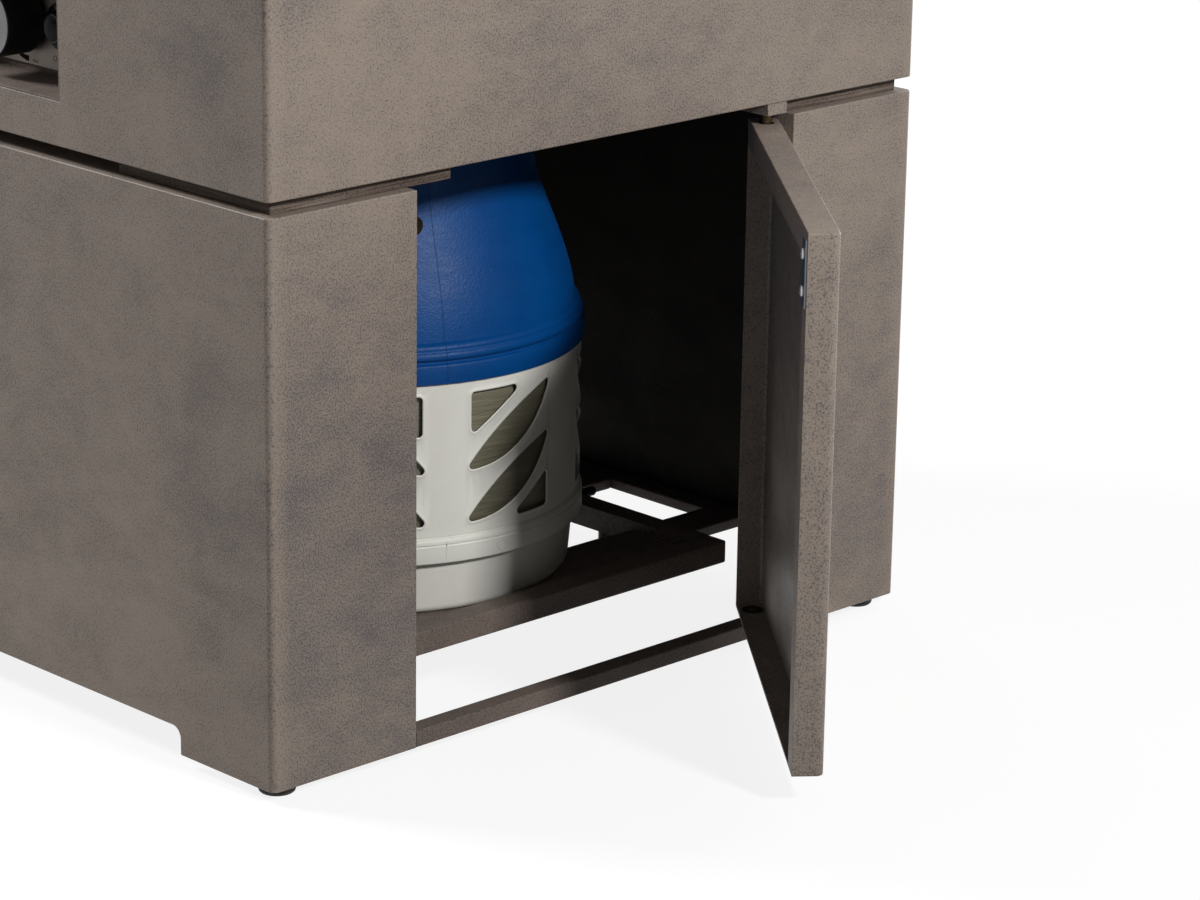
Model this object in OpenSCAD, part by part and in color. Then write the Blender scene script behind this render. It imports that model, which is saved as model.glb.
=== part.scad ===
// Square gas fire pit table: a sheet-metal cabinet with a pivoting door for the gas
// cylinder, a shadow gap, and a burner housing with a table top above it.
// Millimetres, +Z up. The origin is on the floor under the middle of the table.
// The door faces -Y and the control recess faces -X.

/* [Overall] */
// Width of the table along the door face
body_w = 600; // [580:5:680]
// Depth of the table along the control face
body_d = 600; // [580:5:680]
// Height of the foot glides
foot_h = 8; // [5:1:20]
// Height of the cabinet panels
base_h = 381; // [375:1:420]
// Height of the shadow gap between cabinet and burner housing
gap_h = 10; // [9:0.5:16]
// Height of the burner housing
head_h = 181; // [175:1:220]
// Height of the table top edge
top_h = 20; // [12:1:30]
// Thickness of the folded sheet
sheet_t = 2; // [1.5:0.25:2.5]
// Outer radius of the folded vertical corners
corner_r = 5; // [4:0.5:8]

/* [Cabinet] */
// Width of the stiles beside the door
stile_w = 124; // [115:1:130]
// Depth of the folded return on each stile
stile_return = 25; // [23:1:30]
// Width of the flanges folded inwards at the shadow gap
flange_w = 30; // [30:1:40]
// Overlap of the side panels round the back corners
back_lap = 40; // [35:1:60]
// Side gap between a back panel and the corner bends
lap_clear = 1; // [0.5:0.25:3]
// Height of the raised stretch in the bottom edge of the side panels
notch_h = 19; // [16:1:26]
// Length of the panel foot at each end of the raised stretch
foot_zone = 95; // [80:1:120]
// Corner radius of the raised stretch
notch_r = 8; // [4:1:14]
// Height of the rail under the door
rail_h = 12; // [10:0.5:16]
// Depth of the rail under the door
rail_d = 15; // [15:0.5:24]

/* [Feet] */
// Radius of a foot glide at the floor
glide_r = 12; // [8:0.5:14]
// Radius of a foot glide under its plate
glide_top_r = 14; // [10:0.5:16]
// Distance of each glide from the two faces of its corner
glide_inset = 20; // [18:1:30]
// Side of the square plate that carries a glide
glide_plate_w = 58; // [40:1:80]
// Height of a back panel rivet head
rivet_h = 1.5; // [1:0.25:2.5]
// Radius of a back panel rivet head
rivet_r = 4; // [3:0.5:6]

/* [Shadow gap] */
// Distance of the corner spacers from the faces
spacer_setback = 9; // [7:0.5:10]
// Width of a spacer bar
spacer_w = 20; // [12:1:20]
// Length of a spacer leg
spacer_leg = 152; // [120:1:170]

/* [Floor frame and cylinder shelf] */
// Distance from the door face to the front floor bar
floor_front_v = 145; // [135:1:155]
// Distance from the door face to the rear floor bar
floor_rear_v = 280; // [260:1:300]
// Depth of a floor bar
floor_bar_d = 34; // [28:1:40]
// Height of the floor bars and rails
floor_bar_h = 9; // [6:0.5:14]
// Width of the rails along the side walls
side_rail_w = 18; // [14:1:50]
// Height of the standoffs under the shelf
standoff_h = 12; // [8:0.5:18]
// Radius of a standoff
standoff_r = 8; // [5:0.5:9]
// Distance from the door face to the shelf
shelf_v = 50; // [48:0.5:56]
// Width of the shelf frame
shelf_w = 392; // [380:1:400]
// Depth of the shelf frame
shelf_d = 338; // [330:1:360]
// Width of a shelf bar
shelf_bar_w = 19; // [15:0.5:22]
// Height of a shelf bar
shelf_bar_h = 17; // [14:0.5:24]
// Depth of a ledge that carries the cylinder
ledge_d = 61; // [45:1:80]
// Drop of the ledges below the top of the shelf bars
ledge_drop = 7; // [4:0.5:10]
// Distance from the door face to the stop pin on the right shelf bar
stop_pin_v = 212; // [180:1:240]
// Length of the stop pin
stop_pin_l = 23; // [8:1:30]
// Radius of the stop pin
stop_pin_r = 3; // [2:0.5:4]

/* [Gas cylinder] */
// Distance of the cylinder axis from the control face
cyl_u = 275; // [270:1:280]
// Distance of the cylinder axis from the door face
cyl_v = 219; // [215:1:222]
// Outer radius of the ring at the foot of the cylinder
cyl_r = 152.5; // [150:0.5:154]
// Gap between the top of the cylinder and the gas pipe above it
cyl_clear = 11; // [6:1:20]
// Height of the foot below the ring
cyl_foot_h = 40; // [30:1:46]
// Radius of the foot at the ring
cyl_foot_r = 146; // [144:0.5:148]
// Radius of the rounding under the foot
cyl_foot_round = 6; // [4:1:26]
// Height of the ring band
cyl_ring_h = 16.5; // [10:0.5:17]
// Height above the base at which the slotted casing starts
casing_z0 = 58; // [56:0.5:60]
// Height above the base at which the shroud starts
shroud_z0 = 167; // [165:0.5:175]
// Outer radius of the slotted casing
casing_r = 150; // [148:0.5:151]
// Wall of the plastic casing pieces
casing_t = 4; // [3:0.25:5]
// Radius of the pressure vessel
vessel_r = 140; // [136:0.5:141]
// Wall of the pressure vessel
vessel_t = 5; // [4:0.5:8]
// Height of the rim band of the shroud
shroud_band_h = 14; // [10:0.5:18]
// Height of the bead above the rim band
shroud_bead_h = 14; // [10:0.5:18]
// Radius of the shroud above its bead
shroud_waist_r = 146; // [144:0.5:148]
// Height of the straight upper part of the shroud
shroud_neck_h = 83; // [70:1:92]
// Gap in height between the dome of the vessel and the shroud's shoulder
dome_gap = 10; // [6:1:20]
// Drop in radius over the shoulder of the shroud
shoulder_step = 33; // [30:0.5:36]
// Radius of the shroud at its mouth
shroud_mouth_r = 105; // [98:1:109]
// Height of a hand hole in the shroud
hand_hole_h = 36; // [24:1:44]
// Width of a hand hole in the shroud
hand_hole_w = 96; // [80:1:110]
// Direction of the mould line on the cylinder
mould_angle = -111; // [-120:1:-100]
// Number of mirrored slot pairs round the casing
slot_pairs = 4; // [3:1:4]
// Angle from a mould line to the middle of a slot group
slot_angle = 20.5; // [20:0.5:22]
// Run of a leaf slot across the casing
leaf_run = 72; // [60:1:73]
// Rise of a leaf slot up the casing
leaf_rise = 49.5; // [40:0.5:52]
// Bulge of a leaf slot on its upper edge
leaf_bulge_up = 8; // [5:0.5:9]
// Bulge of a leaf slot on its lower edge
leaf_bulge_down = 14; // [10:0.5:15]
// Height of the middle of the lower leaf slot above the base
leaf_low_z = 92.5; // [92:0.5:94]
// Distance between the two leaf slots
leaf_pitch = 37.5; // [36:0.5:39]
// Handwheel radius on the cylinder valve
wheel_r = 28; // [22:1:34]
// Handwheel height
wheel_h = 16; // [12:1:18]

/* [Door] */
// Thickness of the door pan
door_t = 21; // [20:0.5:23]
// Gap between the door and the rail below it
door_gap_bottom = 2.5; // [2:0.25:5]
// Gap between the door and the top edge of the cabinet
door_gap_top = 5.5; // [3:0.5:8]
// Gap between the door and the stile at its hinge side
door_gap_hinge = 2.5; // [2.5:0.25:5]
// Finger gap between the door and the stile at its free side
door_gap_free = 13.5; // [8:0.5:24]
// Radius of the front corners of the door
door_corner_r = 5; // [4.5:0.5:6]
// Height of the lip folded down from the top of the door
door_lip_top = 19; // [12:1:24]
// Width of the lip folded in from the free edge of the door
door_lip_free = 20; // [17:1:26]
// Distance of the pivot axis from the hinge edge
pivot_inset = 15; // [14:0.5:18]
// Angle by which the door stands open
door_open = 50; // [0:1:110]
// Radius of the pivot pins
pin_r = 4; // [3:0.25:4.5]
// Running clearance round the pivot pins
pin_clear = 0.05; // [0.02:0.01:0.1]
// Length of pin inside the door
pin_grip = 12; // [9:0.5:16]
// Radius of the bushes in the door flanges
bush_r = 6; // [5.5:0.25:6.5]
// Width of the pivot block under the housing
pivot_block_w = 19; // [16:0.5:24]
// Depth of the pivot block
pivot_block_d = 40; // [28:1:60]
// Thickness of the pivot block
pivot_block_t = 8; // [6:0.5:8.5]
// Distance of the door catch below the top edge of the cabinet
catch_drop = 32; // [30:1:60]
// Height of the keeper plate
keeper_h = 44; // [40:1:50]
// Width of the keeper plate
keeper_w = 14; // [11:0.5:16]
// Thickness of the keeper plate
keeper_t = 1.5; // [1:0.25:2.5]
// Distance between the keeper screws
keeper_pitch = 24; // [18:1:30]
// Radius of the catch magnet
magnet_r = 6; // [4:0.5:7]
// Depth from the door face to the back of the catch bracket
catch_depth = 45; // [40:1:47]

/* [Controls] */
// Width of the control recess
recess_w = 180; // [170:1:220]
// Height of the control recess
recess_h = 80; // [76:1:90]
// Depth of the control recess
recess_d = 45; // [42:1:60]
// Height of the sill below the recess
recess_sill = 30; // [26:1:36]
// Sheet of the recess box and the control plate
thin_t = 1.5; // [1:0.25:2]
// Width of the flange round the recess box
recess_flange = 12; // [8:1:18]
// Gap between the control plate and the recess floor
plate_gap = 4; // [2:0.5:6]
// Radius of the control knob
knob_r = 24; // [20:0.5:26]
// Length of the control knob
knob_l = 30; // [26:0.5:32]
// Push-in travel of the control knob
knob_travel = 4; // [2:0.5:5]
// Gap left behind the knob when it is pushed in
knob_gap = 1; // [0.5:0.25:2]
// Radius of the valve stem
stem_r = 4; // [3:0.25:5]
// Distance of the igniter from the knob
igniter_pitch = 45; // [44:0.5:60]
// Radius of the igniter bezel
bezel_r = 17; // [14:0.5:18]
// Length of the igniter bezel
bezel_l = 10; // [8:0.5:14]
// Radius of the igniter button
button_r = 10; // [7:0.5:12]
// Travel of the igniter button
button_travel = 5; // [3:0.5:6]
// Length of the control valve body
valve_l = 48; // [40:1:56]
// Width of the control valve body
valve_w = 40; // [32:1:44]
// Height of the control valve body
valve_h = 44; // [36:1:50]
// Radius of the gas inlet spigot
inlet_r = 6.5; // [5:0.25:8]
// Length of the gas inlet spigot
inlet_l = 18; // [12:1:22]
// Distance of the gas inlet from the back of the control recess
inlet_set = 13.5; // [9:0.5:20]
// Distance of the gas inlet from the side of the valve body
inlet_reach = 20; // [18:0.5:30]
// Bend radius of the gas inlet elbow
inlet_bend = 10; // [9:0.5:16]

/* [Burner] */
// Width of the square burner tray
tray_w = 330; // [300:1:360]
// Depth of the burner tray
tray_depth = 75; // [70:1:78]
// Corner radius of the burner tray
tray_r = 8; // [4:1:14]
// Width of the tray flange on the table top
tray_flange = 12; // [8:1:20]
// Radius of the burner ring
ring_r = 100; // [80:1:104]
// Radius of the burner tube
ring_tube_r = 9; // [6:0.5:10]
// Height of the burner ring above the tray floor
ring_lift = 16; // [14:0.5:18]
// Radius of the burner stem
burner_stem_r = 11; // [8:0.5:12]
// Length of burner stem below the tray
burner_stem_l = 14; // [12:0.5:15]
// Height of the grate above the tray floor
grate_lift = 31; // [30:0.5:34]
// Thickness of the grate
grate_t = 2; // [1.5:0.25:3]
// Number of slots in the grate
grate_slots = 12; // [8:1:13]
// Width of a grate slot
grate_slot_w = 12; // [8:0.5:13]
// Radius of the gas pipe
pipe_r = 5; // [4:0.25:6]
// Bend radius of the gas pipe
pipe_bend = 14; // [12:0.5:15]
// Rocks along one side of the bed
rock_rows = 7; // [5:1:7]
// Width of a lava rock
rock_w = 42; // [36:1:43]
// Height of a lava rock
rock_h = 30; // [20:1:32]

/* [Hidden] */
$fn = 48;
eps = 1;
running = 0.05;
seat = 0.3;

x_left = -body_w / 2;
x_right = body_w / 2;
y_front = -body_d / 2;
y_back = body_d / 2;
z_base0 = foot_h;
z_base1 = z_base0 + base_h;
z_head0 = z_base1 + gap_h;
z_head1 = z_head0 + head_h;
z_top = z_head1 + top_h;
top_wall = 3;
top_flange_w = 20;
rib = 12;

floor_z0 = z_base0 + notch_h;
floor_z1 = floor_z0 + floor_bar_h;
floor_x0 = x_left + sheet_t;
floor_x1 = x_right - sheet_t;
back_inner = y_back - 2 * sheet_t;
shelf_z0 = floor_z1 + standoff_h;
shelf_z1 = shelf_z0 + shelf_bar_h;
ledge_z1 = shelf_z1 - ledge_drop;
cyl_x = x_left + cyl_u;
cyl_y = y_front + cyl_v;
shelf_x0 = cyl_x - shelf_w / 2;
shelf_x1 = cyl_x + shelf_w / 2;
shelf_y0 = y_front + shelf_v;
shelf_y1 = shelf_y0 + shelf_d;

door_x1 = x_right - stile_w - door_gap_hinge;
door_x0 = x_left + stile_w + door_gap_free;
door_w = door_x1 - door_x0;
door_y1 = y_front + door_t;
door_z0 = z_base0 + rail_h + door_gap_bottom;
door_z1 = z_base1 - door_gap_top;
pivot_x = door_x1 - pivot_inset;
pivot_y = y_front + door_t / 2;
pivot_block_z0 = z_head0 - pivot_block_t;
bush_collar_h = 4;
bush_collar_r = bush_r + 2;
catch_z = z_base1 - catch_drop;
keeper_x0 = door_x0 + 1;
keeper_x = keeper_x0 + keeper_w / 2;
screw_r = 1.9;
screw_head_r = 3.5;
screw_head_h = 2.2;
screw_tail = 3;
stile_x = x_left + stile_w;
magnet_x = keeper_x;
magnet_y0 = door_y1 + keeper_t + screw_head_h + seat;
bracket_half = 12;

recess_z0 = z_head0 + recess_sill;
recess_z1 = recess_z0 + recess_h;
control_z = recess_z0 + recess_h / 2 - 2;
recess_back = x_left + recess_d;
recess_behind = recess_back + thin_t;
plate_front = recess_back - thin_t;
knob_back = plate_front - knob_travel - knob_gap;
knob_front = knob_back - knob_l;
knob_hollow_r = 18;
knob_hollow_l = 12;
knob_round = 1.5;
knob_dish = 0.8;
stem_front = knob_front + 8;
stem_back = recess_behind + 14;
stem_bore = 20;
collar_r = 10;
collar_l = 4;
stem_hole_r = stem_r + 3;
valve_back = recess_behind + valve_l;
igniter_y = -igniter_pitch;
plunger_r = 5;
plunger_l = 18;
piezo_r = 12;
piezo_l = 46;
button_front = plate_front - bezel_l - button_travel;
button_back = plate_front - button_travel - 0.5;
inlet_x = recess_behind + inlet_set;
inlet_y = valve_w / 2 + inlet_reach;
inlet_z = control_z - inlet_bend - inlet_l;
plate_screw_r = 3.5;
plate_screw_h = 2;
plate_screw_inset = 9;

tray_floor0 = z_top - tray_depth;
tray_floor1 = tray_floor0 + thin_t;
tray_clear = 0.5;
tray_out = tray_w - 2 * tray_clear;
tray_in = tray_out - 2 * thin_t;
rebate_w = tray_w + 2 * tray_flange + 2 * tray_clear;
ring_z = tray_floor1 + ring_lift;
hub_r = 15;
nut_h = 9;
nut_r = burner_stem_r + 7;
mixer_r = burner_stem_r + 3;
stem_bottom = tray_floor0 - burner_stem_l;
mixer_h = stem_bottom - control_z - pipe_bend - 6;
mixer_z0 = stem_bottom - mixer_h;
air_hole_r = 4;
grate_z0 = tray_floor1 + grate_lift;
grate_z1 = grate_z0 + grate_t;
grate_w = tray_in - 4;
grate_leg_w = 10;
grate_pitch = grate_w / (grate_slots + 0.5);
probe_x = -ring_r - 20;
probe_y = 14;
probe_r = 3;
lead_r = 1.5;
lead_bend = 10;
probe_lead_z = control_z + 10;
probe_top = ring_z + 8;
ceramic_r = 3.5;
tip_r = 1.2;
probe_collar_h = 4;
probe_drop = 8;
rock_pitch = (tray_in - 8) / rock_rows;
rock_sides = 5;

cyl_z0 = ledge_z1;
cyl_h = control_z - pipe_r - cyl_clear - cyl_z0;
shoulder_z1 = cyl_h - shroud_neck_h;
dome_z0 = shroud_z0 + 13;
dome_h = shoulder_z1 - dome_z0 - dome_gap;
neck_r = 22;
neck_bore_r = 10;
neck_h = 18;
neck_z1 = dome_z0 + dome_h + neck_h;
spindle_r = 5;
valve_body_r = 16;
valve_body_h = 27;
outlet_r = 8;
outlet_l = 34;
wheel_z0 = neck_z1 + valve_body_h + 2;
spindle_z1 = wheel_z0 + wheel_h - 3;
wheel_scallops = 8;
leaf_half = leaf_run / 2;
leaf_chord = sqrt(leaf_run * leaf_run + leaf_rise * leaf_rise);
leaf_turn = atan2(leaf_rise, leaf_run);
corner_run = leaf_half + 1;
upper_gap_z = leaf_low_z + leaf_pitch + leaf_rise / 2 + 1.5;
upper_gap_h = leaf_rise / 2;
lower_gap_z = leaf_low_z - leaf_rise / 2 - 1.8;
lower_gap_run = 31;

coat = "#8b8078";
coat_dark = "#6b645e";
steel = "#b9bbbd";
black = "#202020";
brass = "#b5964f";
white_plastic = "#d9d7d0";
blue_plastic = "#1b66a8";
composite = "#7d7f6c";
stone = "#4a4240";

// Radius of an arc with the given chord and bulge
function arc_radius(chord, bulge) = (chord * chord / 4 + bulge * bulge) / (2 * bulge);

// Radius of the shroud at a share of the way down its shoulder curve
function shroud_radius(share) =
    shroud_waist_r - shoulder_step * (0.4 * share + 0.3 * (1 - cos(180 * share)));

// Box between two corners
module block(x0, x1, y0, y1, z0, z1) {
    translate([x0, y0, z0])
        cube([x1 - x0, y1 - y0, z1 - z0]);
}

// Rounded rectangle about the origin
module rounded(w, d, r) {
    square([w - 2 * r, d], center = true);
    square([w, d - 2 * r], center = true);
    for (sx = [-1, 1], sy = [-1, 1])
        translate([sx * (w / 2 - r), sy * (d / 2 - r)])
            circle(r);
}

// Footprint of the table, drawn in by an inset
module footprint(inset) {
    rounded(body_w - 2 * inset, body_d - 2 * inset, corner_r - inset);
}

// Plan of the folded sheet round the footprint
module wall_ring(wall) {
    difference() {
        footprint(0);
        footprint(wall);
    }
}

// Plan of the flange folded inwards from the walls
module flange_ring(width) {
    difference() {
        footprint(0);
        square([body_w - 2 * width, body_d - 2 * width], center = true);
    }
}

// Plan area of the left wall with its stile and its lap round the back
module left_area() {
    translate([x_left, y_front])
        square([stile_w, body_d / 2]);
    translate([x_left, 0])
        square([back_lap, body_d / 2]);
}

// Plan area of everything but the middle of the back
module wrap_area() {
    translate([x_left, y_front])
        square([body_w, body_d / 2]);
    for (side = [x_left, x_right - back_lap])
        translate([side, 0])
            square([back_lap, body_d / 2]);
}

// Cylinder along +X from a point
module rod_x(x, y, z, r, l) {
    translate([x, y, z])
        rotate([0, 90, 0])
            cylinder(h = l, r = r);
}

// Cylinder along +Y from a point
module rod_y(x, y, z, r, l) {
    translate([x, y, z])
        rotate([-90, 0, 0])
            cylinder(h = l, r = r);
}

// Places a part of the closed door at the door's open angle
module on_door() {
    translate([pivot_x, pivot_y, 0])
        rotate(door_open)
            translate([-pivot_x, -pivot_y, 0])
                children();
}

// Places a part on the axis of the gas cylinder, from its base upwards
module on_cylinder() {
    translate([cyl_x, cyl_y, cyl_z0])
        children();
}

// Raised stretch cut from the bottom of the left wall
module panel_notch() {
    y0 = y_front + foot_zone;
    y1 = y_back - foot_zone;
    x0 = x_left - eps;
    x1 = x_left + sheet_t + eps;
    z1 = z_base0 + notch_h;
    block(x0, x1, y0, y1, z_base0 - eps, z1 - notch_r);
    block(x0, x1, y0 + notch_r, y1 - notch_r, z_base0 - eps, z1);
    for (y = [y0 + notch_r, y1 - notch_r])
        rod_x(x0, y, z1 - notch_r, notch_r, x1 - x0);
}

// Left wall, front stile with its return, back lap and top flange in one folded sheet
module side_panel() {
    difference() {
        union() {
            translate([0, 0, z_base0])
                linear_extrude(base_h)
                    intersection() {
                        wall_ring(sheet_t);
                        left_area();
                    }
            block(stile_x - sheet_t, stile_x, y_front, y_front + stile_return, z_base0, z_base1);
            translate([0, 0, z_base1 - sheet_t])
                linear_extrude(sheet_t)
                    intersection() {
                        flange_ring(flange_w);
                        left_area();
                    }
        }
        panel_notch();
    }
}

module base_left_panel() {
    color(coat)
        side_panel();
}

module base_right_panel() {
    color(coat)
        mirror([1, 0, 0])
            side_panel();
}

// Flat back sheet between the laps, with a flange between the side flanges
module back_sheet(z0, z1, flange_z) {
    half = body_w / 2 - corner_r - lap_clear;
    block(-half, half, back_inner, y_back - sheet_t, z0, z1);
    for (z = flange_z)
        block(x_left + back_lap, x_right - back_lap, y_back - flange_w, y_back - sheet_t,
            z, z + sheet_t);
}

module base_back_panel() {
    color(coat)
        back_sheet(z_base0 + notch_h, z_base1 - sheet_t, [z_base1 - sheet_t]);
}

module bottom_rail() {
    color(coat)
        difference() {
            block(stile_x, -stile_x, y_front, y_front + rail_d, z_base0, z_base0 + rail_h);
            block(stile_x - eps, -stile_x + eps, y_front + sheet_t, y_front + rail_d - sheet_t,
                z_base0 + sheet_t, z_base0 + rail_h - sheet_t);
        }
}

// Plates welded into the bottom corners
module foot_plates() {
    color(coat_dark)
        translate([0, 0, z_base0])
            linear_extrude(sheet_t)
                intersection() {
                    footprint(sheet_t);
                    for (sx = [-1, 1], sy = [-1, 1])
                        translate([sx * (body_w - glide_plate_w) / 2, sy * (body_d - glide_plate_w) / 2])
                            square(glide_plate_w, center = true);
                }
}

module foot_glides() {
    color(black)
        for (sx = [-1, 1], sy = [-1, 1])
            translate([sx * (body_w / 2 - glide_inset), sy * (body_d / 2 - glide_inset), 0])
                cylinder(h = foot_h, r1 = glide_r, r2 = glide_top_r);
}

// Rivet heads that hold the back panels to the laps
module back_rivets() {
    rows = [z_base0 + 2 * notch_h, (z_base0 + z_base1) / 2, z_base1 - 2 * notch_h,
        z_head0 + 2 * notch_h, z_head1 - 2 * notch_h];
    color(steel)
        for (sx = [-1, 1], z = rows)
            rod_y(sx * (body_w / 2 - back_lap / 2), y_back, z, rivet_r, rivet_h);
}

module floor_front_bar() {
    y0 = y_front + floor_front_v;
    color(coat_dark)
        block(floor_x0, floor_x1, y0, y0 + floor_bar_d, floor_z0, floor_z1);
}

module floor_rear_bar() {
    y0 = y_front + floor_rear_v;
    color(coat_dark)
        block(floor_x0 + side_rail_w, floor_x1 - side_rail_w, y0, y0 + floor_bar_d, floor_z0, floor_z1);
}

// Rail along the left wall behind the front floor bar
module wall_rail() {
    block(floor_x0, floor_x0 + side_rail_w, y_front + floor_front_v + floor_bar_d, back_inner,
        floor_z0, floor_z1);
}

module floor_left_rail() {
    color(coat_dark)
        wall_rail();
}

module floor_right_rail() {
    color(coat_dark)
        mirror([1, 0, 0])
            wall_rail();
}

module shelf_standoffs() {
    color(coat_dark)
        for (x = [shelf_x0 + shelf_bar_w / 2, shelf_x1 - shelf_bar_w / 2])
            for (v = [floor_front_v, floor_rear_v])
                translate([x, y_front + v + floor_bar_d / 2, floor_z1])
                    cylinder(h = standoff_h, r = standoff_r);
}

module shelf_front_bar() {
    color(coat_dark)
        block(shelf_x0, shelf_x1, shelf_y0, shelf_y0 + shelf_bar_w, shelf_z0, shelf_z1);
}

module shelf_rear_bar() {
    color(coat_dark)
        block(shelf_x0, shelf_x1, shelf_y1 - shelf_bar_w, shelf_y1, shelf_z0, shelf_z1);
}

module shelf_left_bar() {
    color(coat_dark)
        block(shelf_x0, shelf_x0 + shelf_bar_w, shelf_y0 + shelf_bar_w, shelf_y1 - shelf_bar_w,
            shelf_z0, shelf_z1);
}

// Right bar of the shelf with its stop pin
module shelf_right_bar() {
    color(coat_dark) {
        block(shelf_x1 - shelf_bar_w, shelf_x1, shelf_y0 + shelf_bar_w, shelf_y1 - shelf_bar_w,
            shelf_z0, shelf_z1);
        rod_x(shelf_x1 - eps, y_front + stop_pin_v, shelf_z0 + shelf_bar_h * 0.7, stop_pin_r,
            stop_pin_l + eps);
    }
}

// Two ledges between the side bars that carry the cylinder
module shelf_ledges() {
    x0 = shelf_x0 + shelf_bar_w;
    x1 = shelf_x1 - shelf_bar_w;
    y0 = shelf_y0 + shelf_bar_w;
    y1 = shelf_y1 - shelf_bar_w;
    color(coat_dark) {
        block(x0, x1, y0, y0 + ledge_d, shelf_z0, ledge_z1);
        block(x0, x1, y1 - ledge_d, y1, shelf_z0, ledge_z1);
    }
}

// Spacer with one leg along each face of the front left corner
module corner_spacer(leg_x) {
    x0 = x_left + spacer_setback;
    y0 = y_front + spacer_setback;
    block(x0, x0 + leg_x, y0, y0 + spacer_w, z_base1, z_head0);
    block(x0, x0 + spacer_w, y0, y0 + spacer_leg, z_base1, z_head0);
}

module spacer_front_left() {
    color(coat)
        corner_spacer(spacer_leg);
}

// The door's pivot block takes the end of this spacer's front leg
module spacer_front_right() {
    leg = x_right - spacer_setback - pivot_x - pivot_block_w / 2 - seat;
    color(coat)
        mirror([1, 0, 0])
            corner_spacer(min(spacer_leg, leg));
}

module spacer_rear_left() {
    color(coat)
        mirror([0, 1, 0])
            corner_spacer(spacer_leg);
}

module spacer_rear_right() {
    color(coat)
        mirror([0, 1, 0])
            mirror([1, 0, 0])
                corner_spacer(spacer_leg);
}

// Block under the housing flange that carries the top pivot pin
module pivot_block() {
    half = pivot_block_w / 2;
    color(coat)
        difference() {
            block(pivot_x - half, pivot_x + half, y_front, y_front + pivot_block_d,
                pivot_block_z0, z_head0);
            translate([pivot_x, pivot_y, pivot_block_z0 - eps])
                cylinder(h = pivot_block_t + 2 * eps, r = pin_r + pin_clear);
        }
}

module pivot_pin_top() {
    color(brass)
        translate([pivot_x, pivot_y, door_z1 - pin_grip])
            cylinder(h = z_head0 - door_z1 + pin_grip, r = pin_r);
}

// Bottom pin with the washer that carries the door
module pivot_pin_bottom() {
    z0 = z_base0 + rail_h;
    color(brass)
        translate([pivot_x, pivot_y, z0]) {
            cylinder(h = door_gap_bottom + pin_grip, r = pin_r);
            cylinder(h = door_gap_bottom - seat, r = bush_collar_r - 2);
        }
}

// Plan of the closed door, drawn in by an inset and left open at the back by a reach
module door_plan(inset, reach) {
    r = door_corner_r;
    translate([door_x0 + inset, y_front + r])
        square([door_w - 2 * inset, door_t - r + reach]);
    translate([door_x0 + r, y_front + inset])
        square([door_w - 2 * r, r]);
    for (x = [door_x0 + r, door_x1 - r])
        translate([x, y_front + r])
            circle(r - inset);
}

// Door sheet folded into a pan, with lips at its top and free edge
module door_pan() {
    height = door_z1 - door_z0;
    color(coat)
        on_door()
            difference() {
                union() {
                    translate([0, 0, door_z0])
                        linear_extrude(height)
                            difference() {
                                door_plan(0, 0);
                                door_plan(sheet_t, eps);
                            }
                    for (z = [door_z0, door_z1 - sheet_t])
                        translate([0, 0, z])
                            linear_extrude(sheet_t)
                                door_plan(0, 0);
                    block(door_x0, door_x1, door_y1 - sheet_t, door_y1, door_z1 - door_lip_top, door_z1);
                    block(door_x0, door_x0 + door_lip_free, door_y1 - sheet_t, door_y1, door_z0, door_z1);
                }
                for (z = [door_z0 - eps, door_z1 - sheet_t - eps])
                    translate([pivot_x, pivot_y, z])
                        cylinder(h = sheet_t + 2 * eps, r = bush_r + running);
                for (z = [-1, 1])
                    rod_y(keeper_x, door_y1 - sheet_t - eps, catch_z + z * keeper_pitch / 2,
                        screw_r + running, sheet_t + 2 * eps);
            }
}

// Flanged bushes in the top and bottom flange of the door
module door_bushes() {
    length = sheet_t + bush_collar_h;
    color(black)
        on_door()
            for (end = [0, 1])
                translate([pivot_x, pivot_y, end == 0 ? door_z0 : door_z1])
                    mirror([0, 0, end])
                        difference() {
                            union() {
                                cylinder(h = length, r = bush_r);
                                translate([0, 0, sheet_t])
                                    cylinder(h = bush_collar_h, r = bush_collar_r);
                            }
                            translate([0, 0, -eps])
                                cylinder(h = length + 2 * eps, r = pin_r + pin_clear);
                        }
}

// Steel plate on the free edge lip that meets the catch magnet
module keeper_plate() {
    color(steel)
        on_door()
            difference() {
                block(keeper_x0, keeper_x0 + keeper_w, door_y1, door_y1 + keeper_t,
                    catch_z - keeper_h / 2, catch_z + keeper_h / 2);
                for (z = [-1, 1])
                    rod_y(keeper_x, door_y1 - eps, catch_z + z * keeper_pitch / 2,
                        screw_r + running, keeper_t + 2 * eps);
            }
}

module keeper_screws() {
    color(steel)
        on_door()
            for (z = [-1, 1]) {
                height = catch_z + z * keeper_pitch / 2;
                rod_y(keeper_x, door_y1 - sheet_t - screw_tail, height, screw_r,
                    sheet_t + screw_tail + keeper_t);
                rod_y(keeper_x, door_y1 + keeper_t, height, screw_head_r, screw_head_h);
            }
}

// Angle bracket on the left stile's return that holds the catch magnet
module catch_bracket() {
    y1 = y_front + catch_depth;
    x1 = magnet_x + magnet_r + 2;
    color(coat_dark) {
        block(stile_x, stile_x + sheet_t, y_front + 4, y1, catch_z - bracket_half, catch_z + bracket_half);
        block(stile_x, x1, y1 - sheet_t, y1, catch_z - bracket_half, catch_z + bracket_half);
    }
}

module catch_magnet() {
    y1 = y_front + catch_depth - sheet_t;
    color(steel)
        rod_y(magnet_x, magnet_y0, catch_z, magnet_r, y1 - magnet_y0);
}

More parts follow.
